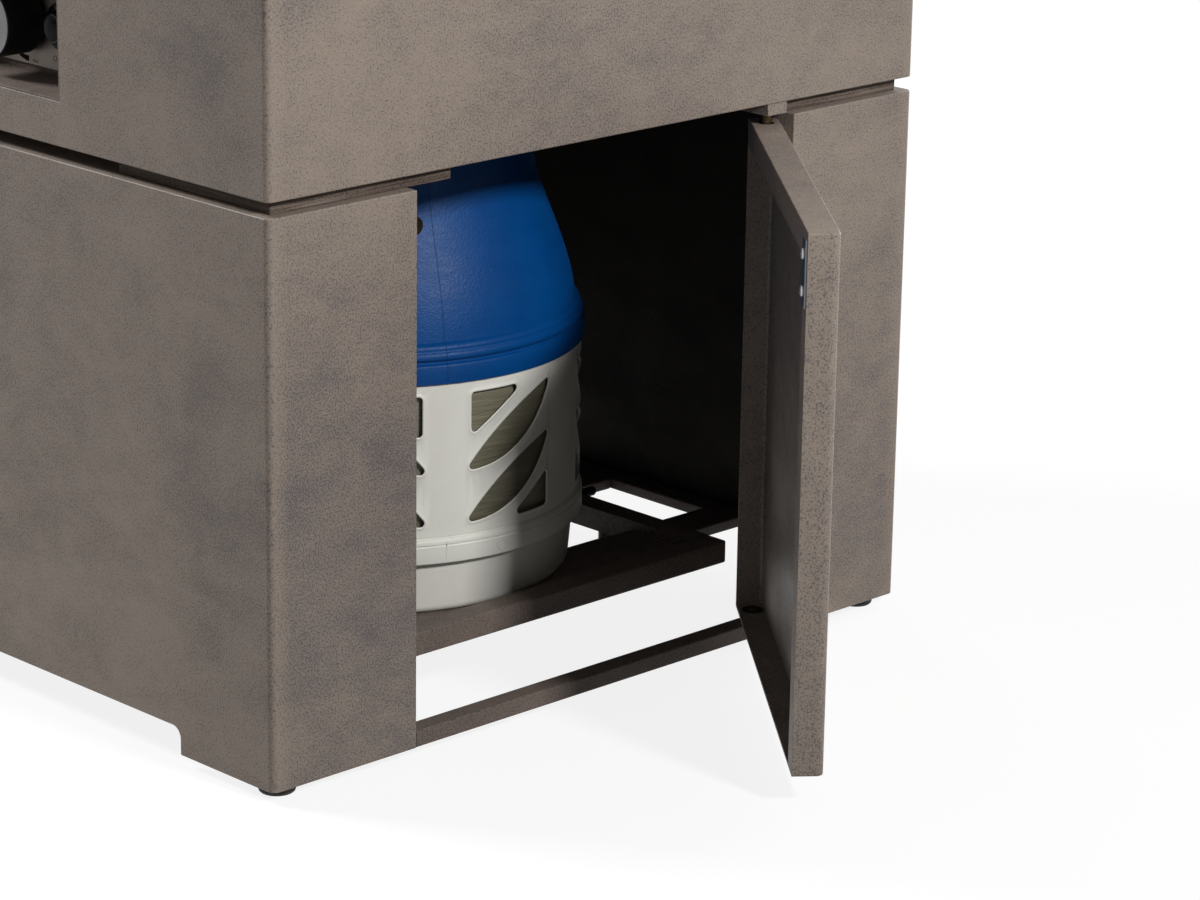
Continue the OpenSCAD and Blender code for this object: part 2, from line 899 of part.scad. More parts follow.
// Front and side walls of the housing in one folded sheet, cut for the control recess
module housing_wrap() {
    color(coat)
        difference() {
            union() {
                translate([0, 0, z_head0])
                    linear_extrude(head_h)
                        intersection() {
                            wall_ring(sheet_t);
                            wrap_area();
                        }
                translate([0, 0, z_head0])
                    linear_extrude(sheet_t)
                        intersection() {
                            flange_ring(flange_w);
                            wrap_area();
                        }
                translate([0, 0, z_head1 - sheet_t])
                    linear_extrude(sheet_t)
                        intersection() {
                            flange_ring(top_flange_w);
                            wrap_area();
                        }
            }
            block(x_left - eps, x_left + sheet_t + eps, -recess_w / 2, recess_w / 2, recess_z0, recess_z1);
        }
}

module housing_back_panel() {
    color(coat)
        back_sheet(z_head0 + sheet_t, z_head1 - sheet_t, [z_head0]);
}

// Top sheet with a folded edge, a square opening for the burner tray and a rebate for its flange
module table_top() {
    color(coat)
        difference() {
            translate([0, 0, z_head1])
                linear_extrude(top_h)
                    footprint(0);
            translate([0, 0, z_head1 - eps])
                linear_extrude(top_h - top_wall + eps)
                    footprint(top_wall);
            translate([0, 0, z_head1])
                linear_extrude(top_h + eps)
                    rounded(tray_w, tray_w, tray_r);
            translate([0, 0, z_top - thin_t])
                linear_extrude(thin_t + eps)
                    rounded(rebate_w, rebate_w, tray_r);
        }
}

// Open-fronted box behind the recess cut-out, with a flange inside the wall
module recess_box() {
    half = recess_w / 2;
    lip = recess_flange;
    wall_in = x_left + sheet_t;
    color(coat_dark)
        difference() {
            union() {
                block(x_left + seat, recess_behind, -half, half, recess_z0, recess_z1);
                block(wall_in, wall_in + thin_t, -half - lip, half + lip, recess_z0 - lip, recess_z1 + lip);
            }
            block(x_left - eps, recess_back, thin_t - half, half - thin_t,
                recess_z0 + thin_t, recess_z1 - thin_t);
            rod_x(recess_back - eps, 0, control_z, stem_hole_r, thin_t + 2 * eps);
            rod_x(recess_back - eps, igniter_y, control_z, plunger_r + 1, thin_t + 2 * eps);
        }
}

module control_plate() {
    half = recess_w / 2 - 2 * thin_t;
    color(steel)
        difference() {
            block(plate_front, recess_back, -half, half, recess_z0 + thin_t + plate_gap,
                recess_z1 - 2 * thin_t);
            rod_x(plate_front - eps, 0, control_z, stem_hole_r, thin_t + 2 * eps);
            rod_x(plate_front - eps, igniter_y, control_z, plunger_r + 1, thin_t + 2 * eps);
        }
}

// Screw heads at the corners of the control plate
module control_plate_screws() {
    y1 = recess_w / 2 - 2 * thin_t - plate_screw_inset;
    color(steel)
        for (sy = [-1, 1])
            for (z = [recess_z0 + thin_t + plate_gap + plate_screw_inset,
                    recess_z1 - 2 * thin_t - plate_screw_inset])
                rod_x(plate_front - plate_screw_h, sy * y1, z, plate_screw_r, plate_screw_h);
}

// Hollow knob with a hub for the stem and a shallow dish in its face
module control_knob() {
    profile = [[0, knob_dish], [knob_r - 2 * knob_round, knob_dish], [knob_r - knob_round, 0],
        [knob_r, knob_round], [knob_r, knob_l], [knob_hollow_r, knob_l],
        [knob_hollow_r, knob_l - knob_hollow_l], [0, knob_l - knob_hollow_l]];
    color(black)
        difference() {
            translate([knob_front, 0, control_z])
                rotate([0, 90, 0])
                    rotate_extrude()
                        polygon(profile);
            rod_x(stem_front, 0, control_z, stem_r + running, knob_l);
        }
}

module valve_stem() {
    color(steel)
        rod_x(stem_front, 0, control_z, stem_r, stem_back - stem_front);
}

// Ring on the stem that slides with the knob but doesn't turn
module stem_collar() {
    color(steel)
        difference() {
            rod_x(knob_back - collar_l, 0, control_z, collar_r, collar_l);
            rod_x(knob_back - collar_l - eps, 0, control_z, stem_r + running, collar_l + 2 * eps);
        }
}

// Valve body behind the recess, bored for its stem, with an inlet elbow that turns down
module control_valve() {
    color(brass)
        difference() {
            union() {
                block(recess_behind, valve_back, -valve_w / 2, valve_w / 2,
                    control_z - valve_h / 2, control_z + valve_h / 2);
                rod_y(inlet_x, valve_w / 2 - eps, control_z, inlet_r, inlet_reach - inlet_bend + eps);
                translate([inlet_x, inlet_y - inlet_bend, control_z - inlet_bend])
                    rotate([90, 0, 90])
                        rotate_extrude(angle = 90)
                            translate([inlet_bend, 0])
                                circle(inlet_r);
                translate([inlet_x, inlet_y, inlet_z])
                    cylinder(h = inlet_l, r = inlet_r);
            }
            rod_x(recess_behind - eps, 0, control_z, stem_r + running, stem_bore + eps);
        }
}

module igniter_bezel() {
    color(black)
        difference() {
            rod_x(plate_front - bezel_l, igniter_y, control_z, bezel_r, bezel_l);
            rod_x(plate_front - bezel_l - eps, igniter_y, control_z, button_r + seat, bezel_l + 2 * eps);
        }
}

// Button cap with its plunger
module igniter_button() {
    color(black) {
        rod_x(button_front, igniter_y, control_z, button_r, button_back - button_front);
        rod_x(button_front, igniter_y, control_z, plunger_r, recess_behind + plunger_l - button_front);
    }
}

module piezo_igniter() {
    color(black)
        difference() {
            rod_x(recess_behind, igniter_y, control_z, piezo_r, piezo_l);
            rod_x(recess_behind - eps, igniter_y, control_z, plunger_r + running,
                plunger_l + button_travel + 2 * eps);
        }
}

// Tube that runs along +X and turns up, from a start to the height of an end
module bent_tube(x0, x1, y, z0, z1, r, bend) {
    rod_x(x0, y, z0, r, x1 - bend - x0);
    translate([x1 - bend, y, z0 + bend])
        rotate([90, 0, 0])
            rotate([0, 0, -90])
                rotate_extrude(angle = 90)
                    translate([bend, 0])
                        circle(r);
    translate([x1, y, z0 + bend])
        cylinder(h = z1 - z0 - bend, r = r);
}

module gas_feed_pipe() {
    color(steel)
        bent_tube(valve_back, 0, 0, control_z, mixer_z0, pipe_r, pipe_bend);
}

module ignition_lead() {
    color(black)
        bent_tube(recess_behind + piezo_l, probe_x, igniter_y, control_z, tray_floor0 - probe_drop,
            lead_r, lead_bend);
}

// Square pan that hangs in the rebate of the table top by its flange
module burner_tray() {
    color(steel)
        difference() {
            union() {
                translate([0, 0, tray_floor0])
                    linear_extrude(tray_depth)
                        rounded(tray_out, tray_out, tray_r);
                translate([0, 0, z_top - thin_t])
                    linear_extrude(thin_t)
                        rounded(tray_w + 2 * tray_flange, tray_w + 2 * tray_flange, tray_r);
            }
            translate([0, 0, tray_floor1])
                linear_extrude(tray_depth + 2 * eps)
                    rounded(tray_in, tray_in, tray_r - thin_t);
            translate([0, 0, tray_floor0 - eps])
                cylinder(h = thin_t + 2 * eps, r = burner_stem_r + seat);
            for (p = [[probe_y, probe_r], [igniter_y, ceramic_r]])
                translate([probe_x, p[0], tray_floor0 - eps])
                    cylinder(h = thin_t + 2 * eps, r = p[1] + seat);
        }
}

// Ring burner with a cross tube, a hub and a threaded stem through the tray
module burner_ring() {
    color(steel) {
        translate([0, 0, ring_z])
            rotate_extrude()
                translate([ring_r, 0])
                    circle(ring_tube_r);
        rod_x(-ring_r, 0, ring_z, ring_tube_r - 1, 2 * ring_r);
        translate([0, 0, tray_floor1])
            cylinder(h = ring_lift + ring_tube_r, r = hub_r);
        translate([0, 0, stem_bottom])
            cylinder(h = ring_lift + burner_stem_l, r = burner_stem_r);
    }
}

module burner_nut() {
    color(steel)
        difference() {
            translate([0, 0, tray_floor0 - nut_h])
                cylinder(h = nut_h, r = nut_r, $fn = 6);
            translate([0, 0, tray_floor0 - nut_h - eps])
                cylinder(h = nut_h + 2 * eps, r = burner_stem_r + running);
        }
}

// Air mixer between the gas pipe and the burner stem
module burner_mixer() {
    color(brass)
        difference() {
            translate([0, 0, mixer_z0])
                cylinder(h = mixer_h, r = mixer_r);
            rod_y(0, -mixer_r - eps, mixer_z0 + mixer_h / 2, air_hole_r, 2 * mixer_r + 2 * eps);
        }
}

// Ceramic electrode with a collar on the tray floor and a steel tip
module spark_electrode() {
    color(white_plastic)
        translate([probe_x, igniter_y, 0]) {
            translate([0, 0, tray_floor0 - probe_drop])
                cylinder(h = probe_top - tray_floor0, r = ceramic_r);
            translate([0, 0, tray_floor1])
                cylinder(h = probe_collar_h, r = 2 * ceramic_r);
            translate([0, 0, probe_top - probe_drop - eps])
                cylinder(h = probe_drop, r = tip_r);
        }
}

// Thermocouple tip with its lead back to the valve
module thermocouple() {
    color(brass) {
        translate([probe_x, probe_y, tray_floor0 - probe_drop])
            cylinder(h = probe_top - tray_floor0, r = probe_r);
        translate([probe_x, probe_y, tray_floor1])
            cylinder(h = probe_collar_h, r = 2 * probe_r);
        bent_tube(valve_back, probe_x, probe_y, probe_lead_z, tray_floor0 - probe_drop, lead_r, lead_bend);
    }
}

// Slotted plate on four legs that carries the rocks above the burner
module burner_grate() {
    half = grate_w / 2;
    slot_l = grate_w - 2 * rib;
    color(steel)
        difference() {
            union() {
                block(-half, half, -half, half, grate_z0, grate_z1);
                for (sx = [-1, 1], sy = [-1, 1])
                    translate([sx * (half - grate_leg_w / 2), sy * (half - grate_leg_w / 2), tray_floor1])
                        linear_extrude(grate_lift)
                            square(grate_leg_w, center = true);
            }
            for (i = [1 : grate_slots])
                translate([(i - (grate_slots + 1) / 2) * grate_pitch, 0, grate_z0 - eps])
                    linear_extrude(grate_t + 2 * eps)
                        square([grate_slot_w, slot_l], center = true);
        }
}

// One flat-based rock of rough facets
module rock(seed) {
    n = rock_sides;
    step = 360 / n;
    low = rands(0.30, 0.39, n, seed);
    wide = rands(0.40, 0.49, n, seed + 100);
    high = rands(0.20, 0.32, n, seed + 200);
    rise = rands(0.34, 0.55, n, seed + 300);
    crown = rands(0.82, 0.97, n, seed + 400);
    ring_low = [for (i = [0 : n - 1])
        rock_w * low[i] * [cos(i * step), sin(i * step), 0]];
    ring_wide = [for (i = [0 : n - 1])
        rock_w * wide[i] * [cos((i + 0.5) * step), sin((i + 0.5) * step), 0] + [0, 0, rock_h * rise[i]]];
    ring_high = [for (i = [0 : n - 1])
        rock_w * high[i] * [cos(i * step), sin(i * step), 0] + [0, 0, rock_h * crown[i]]];
    polyhedron(
        points = concat(ring_low, ring_wide, ring_high, [[0, 0, 0], [0, 0, rock_h]]),
        faces = concat(
            [for (i = [0 : n - 1]) [3 * n, i, (i + 1) % n]],
            [for (i = [0 : n - 1]) [i, n + i, (i + 1) % n]],
            [for (i = [0 : n - 1]) [n + i, n + (i + 1) % n, (i + 1) % n]],
            [for (i = [0 : n - 1]) [n + i, 2 * n + (i + 1) % n, n + (i + 1) % n]],
            [for (i = [0 : n - 1]) [n + i, 2 * n + i, 2 * n + (i + 1) % n]],
            [for (i = [0 : n - 1]) [2 * n + i, 3 * n + 1, 2 * n + (i + 1) % n]]));
}

// Bed of loose rocks on the grate
module lava_rocks() {
    middle = (rock_rows - 1) / 2;
    color(stone)
        for (i = [0 : rock_rows - 1], j = [0 : rock_rows - 1])
            translate([(i - middle) * rock_pitch, (j - middle) * rock_pitch, grate_z1])
                rotate(37 * i + 61 * j)
                    rock(i * rock_rows + j + 1);
}

// Cup that holds the vessel, with the ring band on its edge
module cylinder_foot() {
    inner = vessel_r + 1;
    flat_r = cyl_foot_r - 3 - cyl_foot_round;
    rounding = [for (a = [0 : 15 : 90])
        [flat_r + cyl_foot_round * sin(a), cyl_foot_round * (1 - cos(a))]];
    rim = [[cyl_foot_r, cyl_foot_h], [cyl_r, cyl_foot_h + 2], [cyl_r, cyl_foot_h + cyl_ring_h],
        [casing_r, casing_z0], [inner, casing_z0], [inner, casing_t + 12], [inner - 12, casing_t],
        [0, casing_t]];
    color(white_plastic)
        on_cylinder()
            rotate_extrude()
                polygon(concat([[0, 0]], rounding, rim));
}

// Profile of the pressure vessel, drawn in by an inset
module vessel_profile(inset) {
    r = vessel_r - inset;
    bottom = casing_t + inset;
    round_r = 30 - inset;
    neck = inset == 0 ? neck_r : neck_bore_r;
    base_round = [for (a = [0 : 15 : 90])
        [r - round_r + round_r * sin(a), bottom + round_r * (1 - cos(a))]];
    dome = [for (a = [0 : 7.5 : 82.5])
        [neck + (r - neck) * cos(a), dome_z0 + (dome_h - inset) * sin(a)]];
    end = [[neck, dome_z0 + dome_h - inset], [neck, neck_z1 + (inset == 0 ? 0 : eps)],
        [0, neck_z1 + (inset == 0 ? 0 : eps)]];
    polygon(concat([[0, bottom]], base_round, dome, end));
}

module cylinder_vessel() {
    color(composite)
        on_cylinder()
            rotate_extrude()
                difference() {
                    vessel_profile(0);
                    vessel_profile(vessel_t);
                }
}

// Leaf between two arcs that share its tips
module leaf() {
    up = arc_radius(leaf_chord, leaf_bulge_up);
    down = arc_radius(leaf_chord, leaf_bulge_down);
    rotate(leaf_turn)
        intersection() {
            translate([0, leaf_bulge_up - up])
                circle(up);
            translate([0, down - leaf_bulge_down])
                circle(down);
        }
}

// Two leaves with a triangle above and below them
module slot_group() {
    for (z = [leaf_low_z, leaf_low_z + leaf_pitch])
        translate([0, z])
            leaf();
    polygon([[-corner_run, upper_gap_z], [0, upper_gap_z], [-corner_run, upper_gap_z - upper_gap_h]]);
    polygon([[leaf_half - lower_gap_run, lower_gap_z], [leaf_half, lower_gap_z],
        [leaf_half, lower_gap_z + upper_gap_h]]);
}

// Slotted casing between the foot and the shroud, with mirrored slot groups
module cylinder_casing() {
    color(white_plastic)
        on_cylinder()
            difference() {
                rotate_extrude()
                    translate([casing_r - casing_t, casing_z0])
                        square([casing_t, shroud_z0 - casing_z0]);
                for (k = [0 : slot_pairs - 1], side = [-1, 1])
                    rotate(mould_angle + k * 360 / slot_pairs + side * slot_angle + 90)
                        rotate([90, 0, 0])
                            translate([0, 0, casing_r / 2])
                                linear_extrude(casing_r)
                                    mirror([side > 0 ? 0 : 1, 0])
                                        slot_group();
            }
}

// Shoulder of the shroud with a rim band and a bead at its foot
module cylinder_shroud() {
    band = shroud_z0 + shroud_band_h;
    waist = band + shroud_bead_h;
    steps = 8;
    shoulder = [for (i = [0 : steps])
        [shroud_radius(i / steps), waist + (shoulder_z1 - waist) * i / steps]];
    outer = concat([[cyl_r, shroud_z0], [cyl_r, band], [cyl_r - 2, band + 1], [cyl_r - 1, band + 3],
        [cyl_r - 1, waist - 6]], shoulder);
    inner = [for (i = [steps : -1 : 0]) shoulder[i] - [casing_t, 0]];
    seat_r = casing_r - casing_t;
    color(blue_plastic)
        on_cylinder()
            rotate_extrude()
                polygon(concat(outer, inner, [[seat_r, band], [seat_r, shroud_z0]]));
}

// Collar round the cylinder valve, with two hand holes
module cylinder_collar() {
    foot_r = shroud_radius(1);
    color(blue_plastic)
        on_cylinder()
            difference() {
                rotate_extrude()
                    polygon([[foot_r, shoulder_z1], [shroud_mouth_r, cyl_h],
                        [shroud_mouth_r - casing_t, cyl_h], [foot_r - casing_t, shoulder_z1]]);
                for (turn = [0, 180])
                    rotate(mould_angle + 90 + turn)
                        translate([cyl_r / 2, 0, (shoulder_z1 + cyl_h) / 2])
                            rotate([0, 90, 0])
                                linear_extrude(cyl_r)
                                    rounded(hand_hole_h, hand_hole_w, hand_hole_h / 3);
            }
}

// Brass valve on the vessel neck with a side outlet and a spindle
module cylinder_valve() {
    color(brass)
        on_cylinder() {
            translate([0, 0, neck_z1 - neck_h])
                cylinder(h = neck_h + eps, r = neck_bore_r - running);
            translate([0, 0, neck_z1])
                cylinder(h = valve_body_h, r = valve_body_r);
            rod_y(0, 0, neck_z1 + valve_body_h / 2, outlet_r, outlet_l);
            translate([0, 0, neck_z1])
                cylinder(h = spindle_z1 - neck_z1, r = spindle_r);
        }
}

// Scalloped handwheel on the valve spindle
module valve_handwheel() {
    color(black)
        on_cylinder()
            difference() {
                translate([0, 0, wheel_z0])
                    cylinder(h = wheel_h, r = wheel_r);
                translate([0, 0, wheel_z0 - eps])
                    cylinder(h = wheel_h - 2 + eps, r = spindle_r + running);
                for (k = [1 : wheel_scallops])
                    rotate(k * 360 / wheel_scallops)
                        translate([wheel_r + 3, 0, wheel_z0 - eps])
                            cylinder(h = wheel_h + 2 * eps, r = 7);
            }
}

base_left_panel();
base_right_panel();
base_back_panel();
bottom_rail();
foot_plates();
foot_glides();
back_rivets();
floor_front_bar();
floor_rear_bar();
floor_left_rail();
floor_right_rail();
shelf_standoffs();
shelf_front_bar();
shelf_rear_bar();
shelf_left_bar();
shelf_right_bar();
shelf_ledges();
spacer_front_left();
spacer_front_right();
spacer_rear_left();
spacer_rear_right();
pivot_block();
pivot_pin_top();
pivot_pin_bottom();
door_pan();
door_bushes();
keeper_plate();
keeper_screws();
catch_bracket();
catch_magnet();
housing_wrap();
housing_back_panel();
table_top();
recess_box();
control_plate();
control_plate_screws();
control_knob();
valve_stem();
stem_collar();
control_valve();
igniter_bezel();
igniter_button();
piezo_igniter();
gas_feed_pipe();
ignition_lead();
burner_tray();
burner_ring();
burner_nut();
burner_mixer();
spark_electrode();
thermocouple();
burner_grate();
lava_rocks();
cylinder_foot();
cylinder_vessel();
cylinder_casing();
cylinder_shroud();
cylinder_collar();
cylinder_valve();
valve_handwheel();
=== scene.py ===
"""Gas fire pit table with an open cylinder cabinet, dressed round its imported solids."""

import logging
import math
import random
from contextlib import contextmanager
from dataclasses import dataclass
from enum import Enum
from typing import Callable, Iterator, Optional, Sequence, Union

import bmesh
import bpy
from mathutils import Matrix, Vector


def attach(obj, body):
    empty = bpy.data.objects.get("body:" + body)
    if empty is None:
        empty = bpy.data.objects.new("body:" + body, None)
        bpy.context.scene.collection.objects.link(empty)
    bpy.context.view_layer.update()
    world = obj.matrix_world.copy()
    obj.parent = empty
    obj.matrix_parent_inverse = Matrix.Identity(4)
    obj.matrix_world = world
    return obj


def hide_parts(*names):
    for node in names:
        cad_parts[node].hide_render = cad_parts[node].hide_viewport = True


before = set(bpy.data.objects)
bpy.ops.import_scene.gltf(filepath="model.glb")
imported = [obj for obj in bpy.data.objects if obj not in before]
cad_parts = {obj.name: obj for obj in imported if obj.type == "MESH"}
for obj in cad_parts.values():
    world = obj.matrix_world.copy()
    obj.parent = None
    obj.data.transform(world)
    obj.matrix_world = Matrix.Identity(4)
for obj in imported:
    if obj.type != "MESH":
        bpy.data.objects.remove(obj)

LOG = logging.getLogger("fire_pit_table")
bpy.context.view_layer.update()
MM = 0.001
QUARTER = math.pi / 2
ORIGIN = Matrix.Identity(4)
WELD = 1e-6         # metres between vertices that are merged
NODE_WELD = 1e-5    # the same in a copied node
EDGE_WELD = 2e-6    # the same along broken edges
FLAT = 0.5          # degrees between triangles that make one flat face
SPECK = 5e-8        # square metres of a face that is too small to see
FOLD_ANGLE = 1.0    # least angle of a fold in a sheet
FOLDED_BACK = 2.4   # angle of an edge whose faces lie back to back
BROAD = 5 * MM      # least width of the faces on both sides of a fold

Solid = bpy.types.Object
Socket = bpy.types.NodeSocket
Face = bmesh.types.BMFace
Edge = bmesh.types.BMEdge
Colour = tuple[float, float, float, float]
Spot = tuple[float, float, float]
Point = tuple[float, float]
Outline = Sequence[Point]


class Axis(Enum):
    """Axis that a turned piece is laid on, as the axis and the angle of the turn."""

    X = ("Y", QUARTER)
    Y = ("X", -QUARTER)

    def stand(self) -> Matrix:
        """Turn that lays a piece made along +Z on this axis."""
        about, angle = self.value
        return Matrix.Rotation(angle, 4, about)


class Kind(Enum):
    """What a selection in edit mode is made of."""

    EDGES = "EDGE"
    FACES = "FACE"


class Body(Enum):
    """Moving body that a piece rides on."""

    TABLE = "table"
    DOOR = "door"
    COLLAR = "knob_slider"
    KNOB = "knob"
    IGNITER = "igniter"
    HANDWHEEL = "handwheel"


def srgb(red: int, green: int, blue: int) -> Colour:
    """Linear colour of a screen colour from 0 to 255."""
    def channel(value: int) -> float:
        """Linear value of one channel."""
        share = value / 255
        return share / 12.92 if share <= 0.04045 else ((share + 0.055) / 1.055) ** 2.4
    return channel(red), channel(green), channel(blue), 1.0


def move_mm(x: float, y: float, z: float) -> Matrix:
    """Shift by millimetres."""
    return Matrix.Translation((x * MM, y * MM, z * MM))


def spin_z(angle: float) -> Matrix:
    """Turn about +Z."""
    return Matrix.Rotation(angle, 4, "Z")


# Work bench: selection, lathe, folded sheets and edges


def deselect() -> None:
    """Leaves edit mode and leaves no object selected."""
    if bpy.context.mode != "OBJECT":
        bpy.ops.object.mode_set(mode="OBJECT")
    bpy.ops.object.select_all(action="DESELECT")


def take(piece: Solid) -> None:
    """Makes a piece the only selected object and the active one."""
    deselect()
    piece.select_set(True)
    bpy.context.view_layer.objects.active = piece


def rename(piece: Solid, name: str) -> Solid:
    """Gives a piece and its data one name."""
    piece.name = name
    piece.data.name = name
    return piece


def fresh(add: Callable[..., set], name: str, **settings: object) -> Solid:
    """Adds an object by one of Blender's operators and names it."""
    deselect()
    add(**settings)
    return rename(bpy.context.active_object, name)


@contextmanager
def editing(piece: Solid) -> Iterator[None]:
    """Holds a piece in edit mode."""
    take(piece)
    bpy.ops.object.mode_set(mode="EDIT")
    yield
    bpy.ops.object.mode_set(mode="OBJECT")


def pick(piece: Solid, kind: Kind, test: Callable[..., bool]) -> int:
    """Selects the parts of a piece in edit mode that pass a test.

    Args:
        piece: the piece that is in edit mode.
        kind: whether edges or faces are picked.
        test: says whether one of them is wanted.

    Returns:
        How many were picked.
    """
    bpy.ops.mesh.select_mode(type=kind.value)
    bpy.ops.mesh.select_all(action="DESELECT")
    shape = bmesh.from_edit_mesh(piece.data)
    shape.normal_update()
    wanted = [part for part in getattr(shape, kind.name.lower()) if test(part)]
    for part in wanted:
        part.select_set(True)
    shape.select_flush_mode()
    bmesh.update_edit_mesh(piece.data)
    return len(wanted)


def apply_modifier(piece: Solid, kind: str, **settings: object) -> None:
    """Adds a modifier with its settings and applies it."""
    take(piece)
    modifier = piece.modifiers.new(kind.title(), kind)
    for key, value in settings.items():
        setattr(modifier, key, value)
    bpy.ops.object.modifier_apply(modifier=modifier.name)


def settle(piece: Solid, place: Matrix) -> Solid:
    """Moves a piece from the origin and puts its place into its mesh."""
    take(piece)
    piece.matrix_world = place
    bpy.ops.object.transform_apply(location=True, rotation=True, scale=True)
    return piece


def weld(piece: Solid) -> None:
    """Merges the vertices that meet and turns the normals out."""
    with editing(piece):
        bpy.ops.mesh.select_all(action="SELECT")
        bpy.ops.mesh.remove_doubles(threshold=WELD)
        bpy.ops.mesh.normals_make_consistent(inside=False)


def smooth(piece: Solid, degrees: float = 40) -> None:
    """Shades a piece smooth across edges flatter than an angle."""
    take(piece)
    bpy.ops.object.shade_smooth_by_angle(angle=math.radians(degrees))


def lathe(name: str, outline: Outline, place: Matrix = ORIGIN, steps: int = 48,
          sweep: float = math.tau) -> Solid:
    """Draws an outline point by point and spins it about +Z.

    Args:
        name: name of the piece.
        outline: radius and height of each point, in millimetres; a wall's returns to its start.
        place: where the foot of the spun shape goes, in metres.
        steps: facets of the spin.
        sweep: angle of the spin.

    Returns:
        The spun piece.
    """
    piece = fresh(bpy.ops.mesh.primitive_plane_add, name, size=MM)
    points = [Vector((radius * MM, 0, height * MM)) for radius, height in outline]
    with editing(piece):
        bpy.ops.mesh.select_mode(type="VERT")
        bpy.ops.mesh.select_all(action="SELECT")
        bpy.ops.mesh.merge(type="CENTER")
        bpy.ops.transform.translate(value=points[0])
        for before, after in zip(points, points[1:]):
            bpy.ops.mesh.extrude_vertices_move(TRANSFORM_OT_translate={"value": after - before})
        bpy.ops.mesh.select_all(action="SELECT")
        bpy.ops.mesh.spin(steps=steps, angle=sweep, center=(0, 0, 0), axis=(0, 0, 1))
    weld(piece)
    settle(piece, place)
    smooth(piece, 35)
    return piece


def even_shading(piece: Solid, degrees: float = 40) -> None:
    """Shades flat faces flat and rounded edges smooth, up to the least angle of a sharp edge."""
    smooth(piece, degrees)
    shape = bmesh.new()
    shape.from_mesh(piece.data)
    limit = math.radians(degrees)

    def goes_on(edge: Edge, vert: bmesh.types.BMVert) -> bool:
        """Says whether the shading runs on across an edge at a corner."""
        return vert in edge.verts and len(edge.link_faces) == 2 and edge.calc_face_angle() < limit

    normals = []
    for face in shape.faces:
        for loop in face.loops:
            fan, ahead = {face}, [face]
            while ahead:
                for edge in ahead.pop().edges:
                    if goes_on(edge, loop.vert):
                        found = set(edge.link_faces) - fan
                        fan |= found
                        ahead += found
            total = sum((near.normal * near.calc_area() ** 2 for near in fan), Vector())
            normals.append(total.normalized())
    shape.free()
    piece.data.normals_split_custom_set(normals)


def node_copy(node: str, name: str) -> Solid:
    """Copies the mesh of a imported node, with its triangles merged into flat faces."""
    take(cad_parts[node])
    bpy.ops.object.duplicate()
    piece = rename(bpy.context.active_object, name)
    piece.parent = None
    for key in list(piece.keys()):
        del piece[key]
    piece.data.materials.clear()
    with editing(piece):
        bpy.ops.mesh.select_all(action="SELECT")
        bpy.ops.mesh.remove_doubles(threshold=NODE_WELD)
        bpy.ops.mesh.dissolve_limited(angle_limit=math.radians(FLAT))
    return piece


def width_across(edge: Edge, face: Face) -> float:
    """Measures a face straight across from the middle of one of its edges.

    Args:
        edge: the edge to start from.
        face: the face to cross.

    Returns:
        The distance to the next edge of the face, in metres.
    """
    start, end = (vert.co for vert in edge.verts)
    middle = (start + end) / 2
    loop = next(loop for loop in face.loops if loop.edge == edge)
    along = (loop.link_loop_next.vert.co - loop.vert.co).normalized()
    across = face.normal.cross(along)
    best = 1.0
    for other in face.edges:
        if other == edge:
            continue
        first, last = (vert.co - middle for vert in other.verts)
        one, two = first.dot(along), last.dot(along)
        if one * two > 0 or one == two:
            continue
        reach = first.lerp(last, one / (one - two)).dot(across)
        if reach > WELD:
            best = min(best, reach)
    return best


def is_fold(edge: Edge) -> bool:
    """Says whether an edge is an outer fold between two broad faces of a sheet."""
    if len(edge.link_faces) != 2 or not edge.is_convex or edge.calc_face_angle() < FOLD_ANGLE:
        return False
    return all(width_across(edge, face) > BROAD for face in edge.link_faces)


def round_folds(piece: Solid, radius: float) -> None:
    """Rounds the outer folds of a sheet."""
    with editing(piece):
        if pick(piece, Kind.EDGES, is_fold):
            bpy.ops.mesh.bevel(offset=radius, segments=4, affect="EDGES", clamp_overlap=True,
                               miter_outer="ARC")


def folds_over(piece: Solid) -> bool:
    """Says whether two faces of a piece lie back to back."""
    shape = bmesh.new()
    shape.from_mesh(piece.data)
    found = any(len(edge.link_faces) == 2 and edge.calc_face_angle() > FOLDED_BACK
                and min(face.calc_area() for face in edge.link_faces) > SPECK
                for edge in shape.edges)
    shape.free()
    return found


def ease_edges(piece: Solid, width: float, degrees: float = 40) -> None:
    """Breaks the sharp edges of a piece, as wide as they allow, and evens its shading.

    Args:
        piece: the piece.
        width: width of the broken edge, in metres.
        degrees: least angle of an edge that counts as sharp.
    """
    plain = piece.data
    for share, clamp in ((1.0, False), (0.6, False), (0.3, False), (1.0, True)):
        piece.data = plain.copy()
        apply_modifier(piece, "BEVEL", width=width * share, segments=2, limit_method="ANGLE",
                       angle_limit=math.radians(degrees), use_clamp_overlap=clamp)
        with editing(piece):
            bpy.ops.mesh.select_all(action="SELECT")
            bpy.ops.mesh.remove_doubles(threshold=EDGE_WELD)
            bpy.ops.mesh.dissolve_degenerate(threshold=EDGE_WELD)
        if clamp or not folds_over(piece):
            break
    even_shading(piece)


def cut(piece: Solid, cutter: Solid) -> None:
    """Cuts a piece with another one, which is used up."""
    apply_modifier(piece, "BOOLEAN", object=cutter, operation="DIFFERENCE", solver="EXACT")
    bpy.data.objects.remove(cutter)


def merge_pieces(name: str, pieces: Sequence[Solid]) -> Solid:
    """Joins pieces into one under a new name."""
    take(pieces[0])
    for piece in pieces[1:]:
        piece.select_set(True)
    bpy.ops.object.join()
    return rename(pieces[0], name)


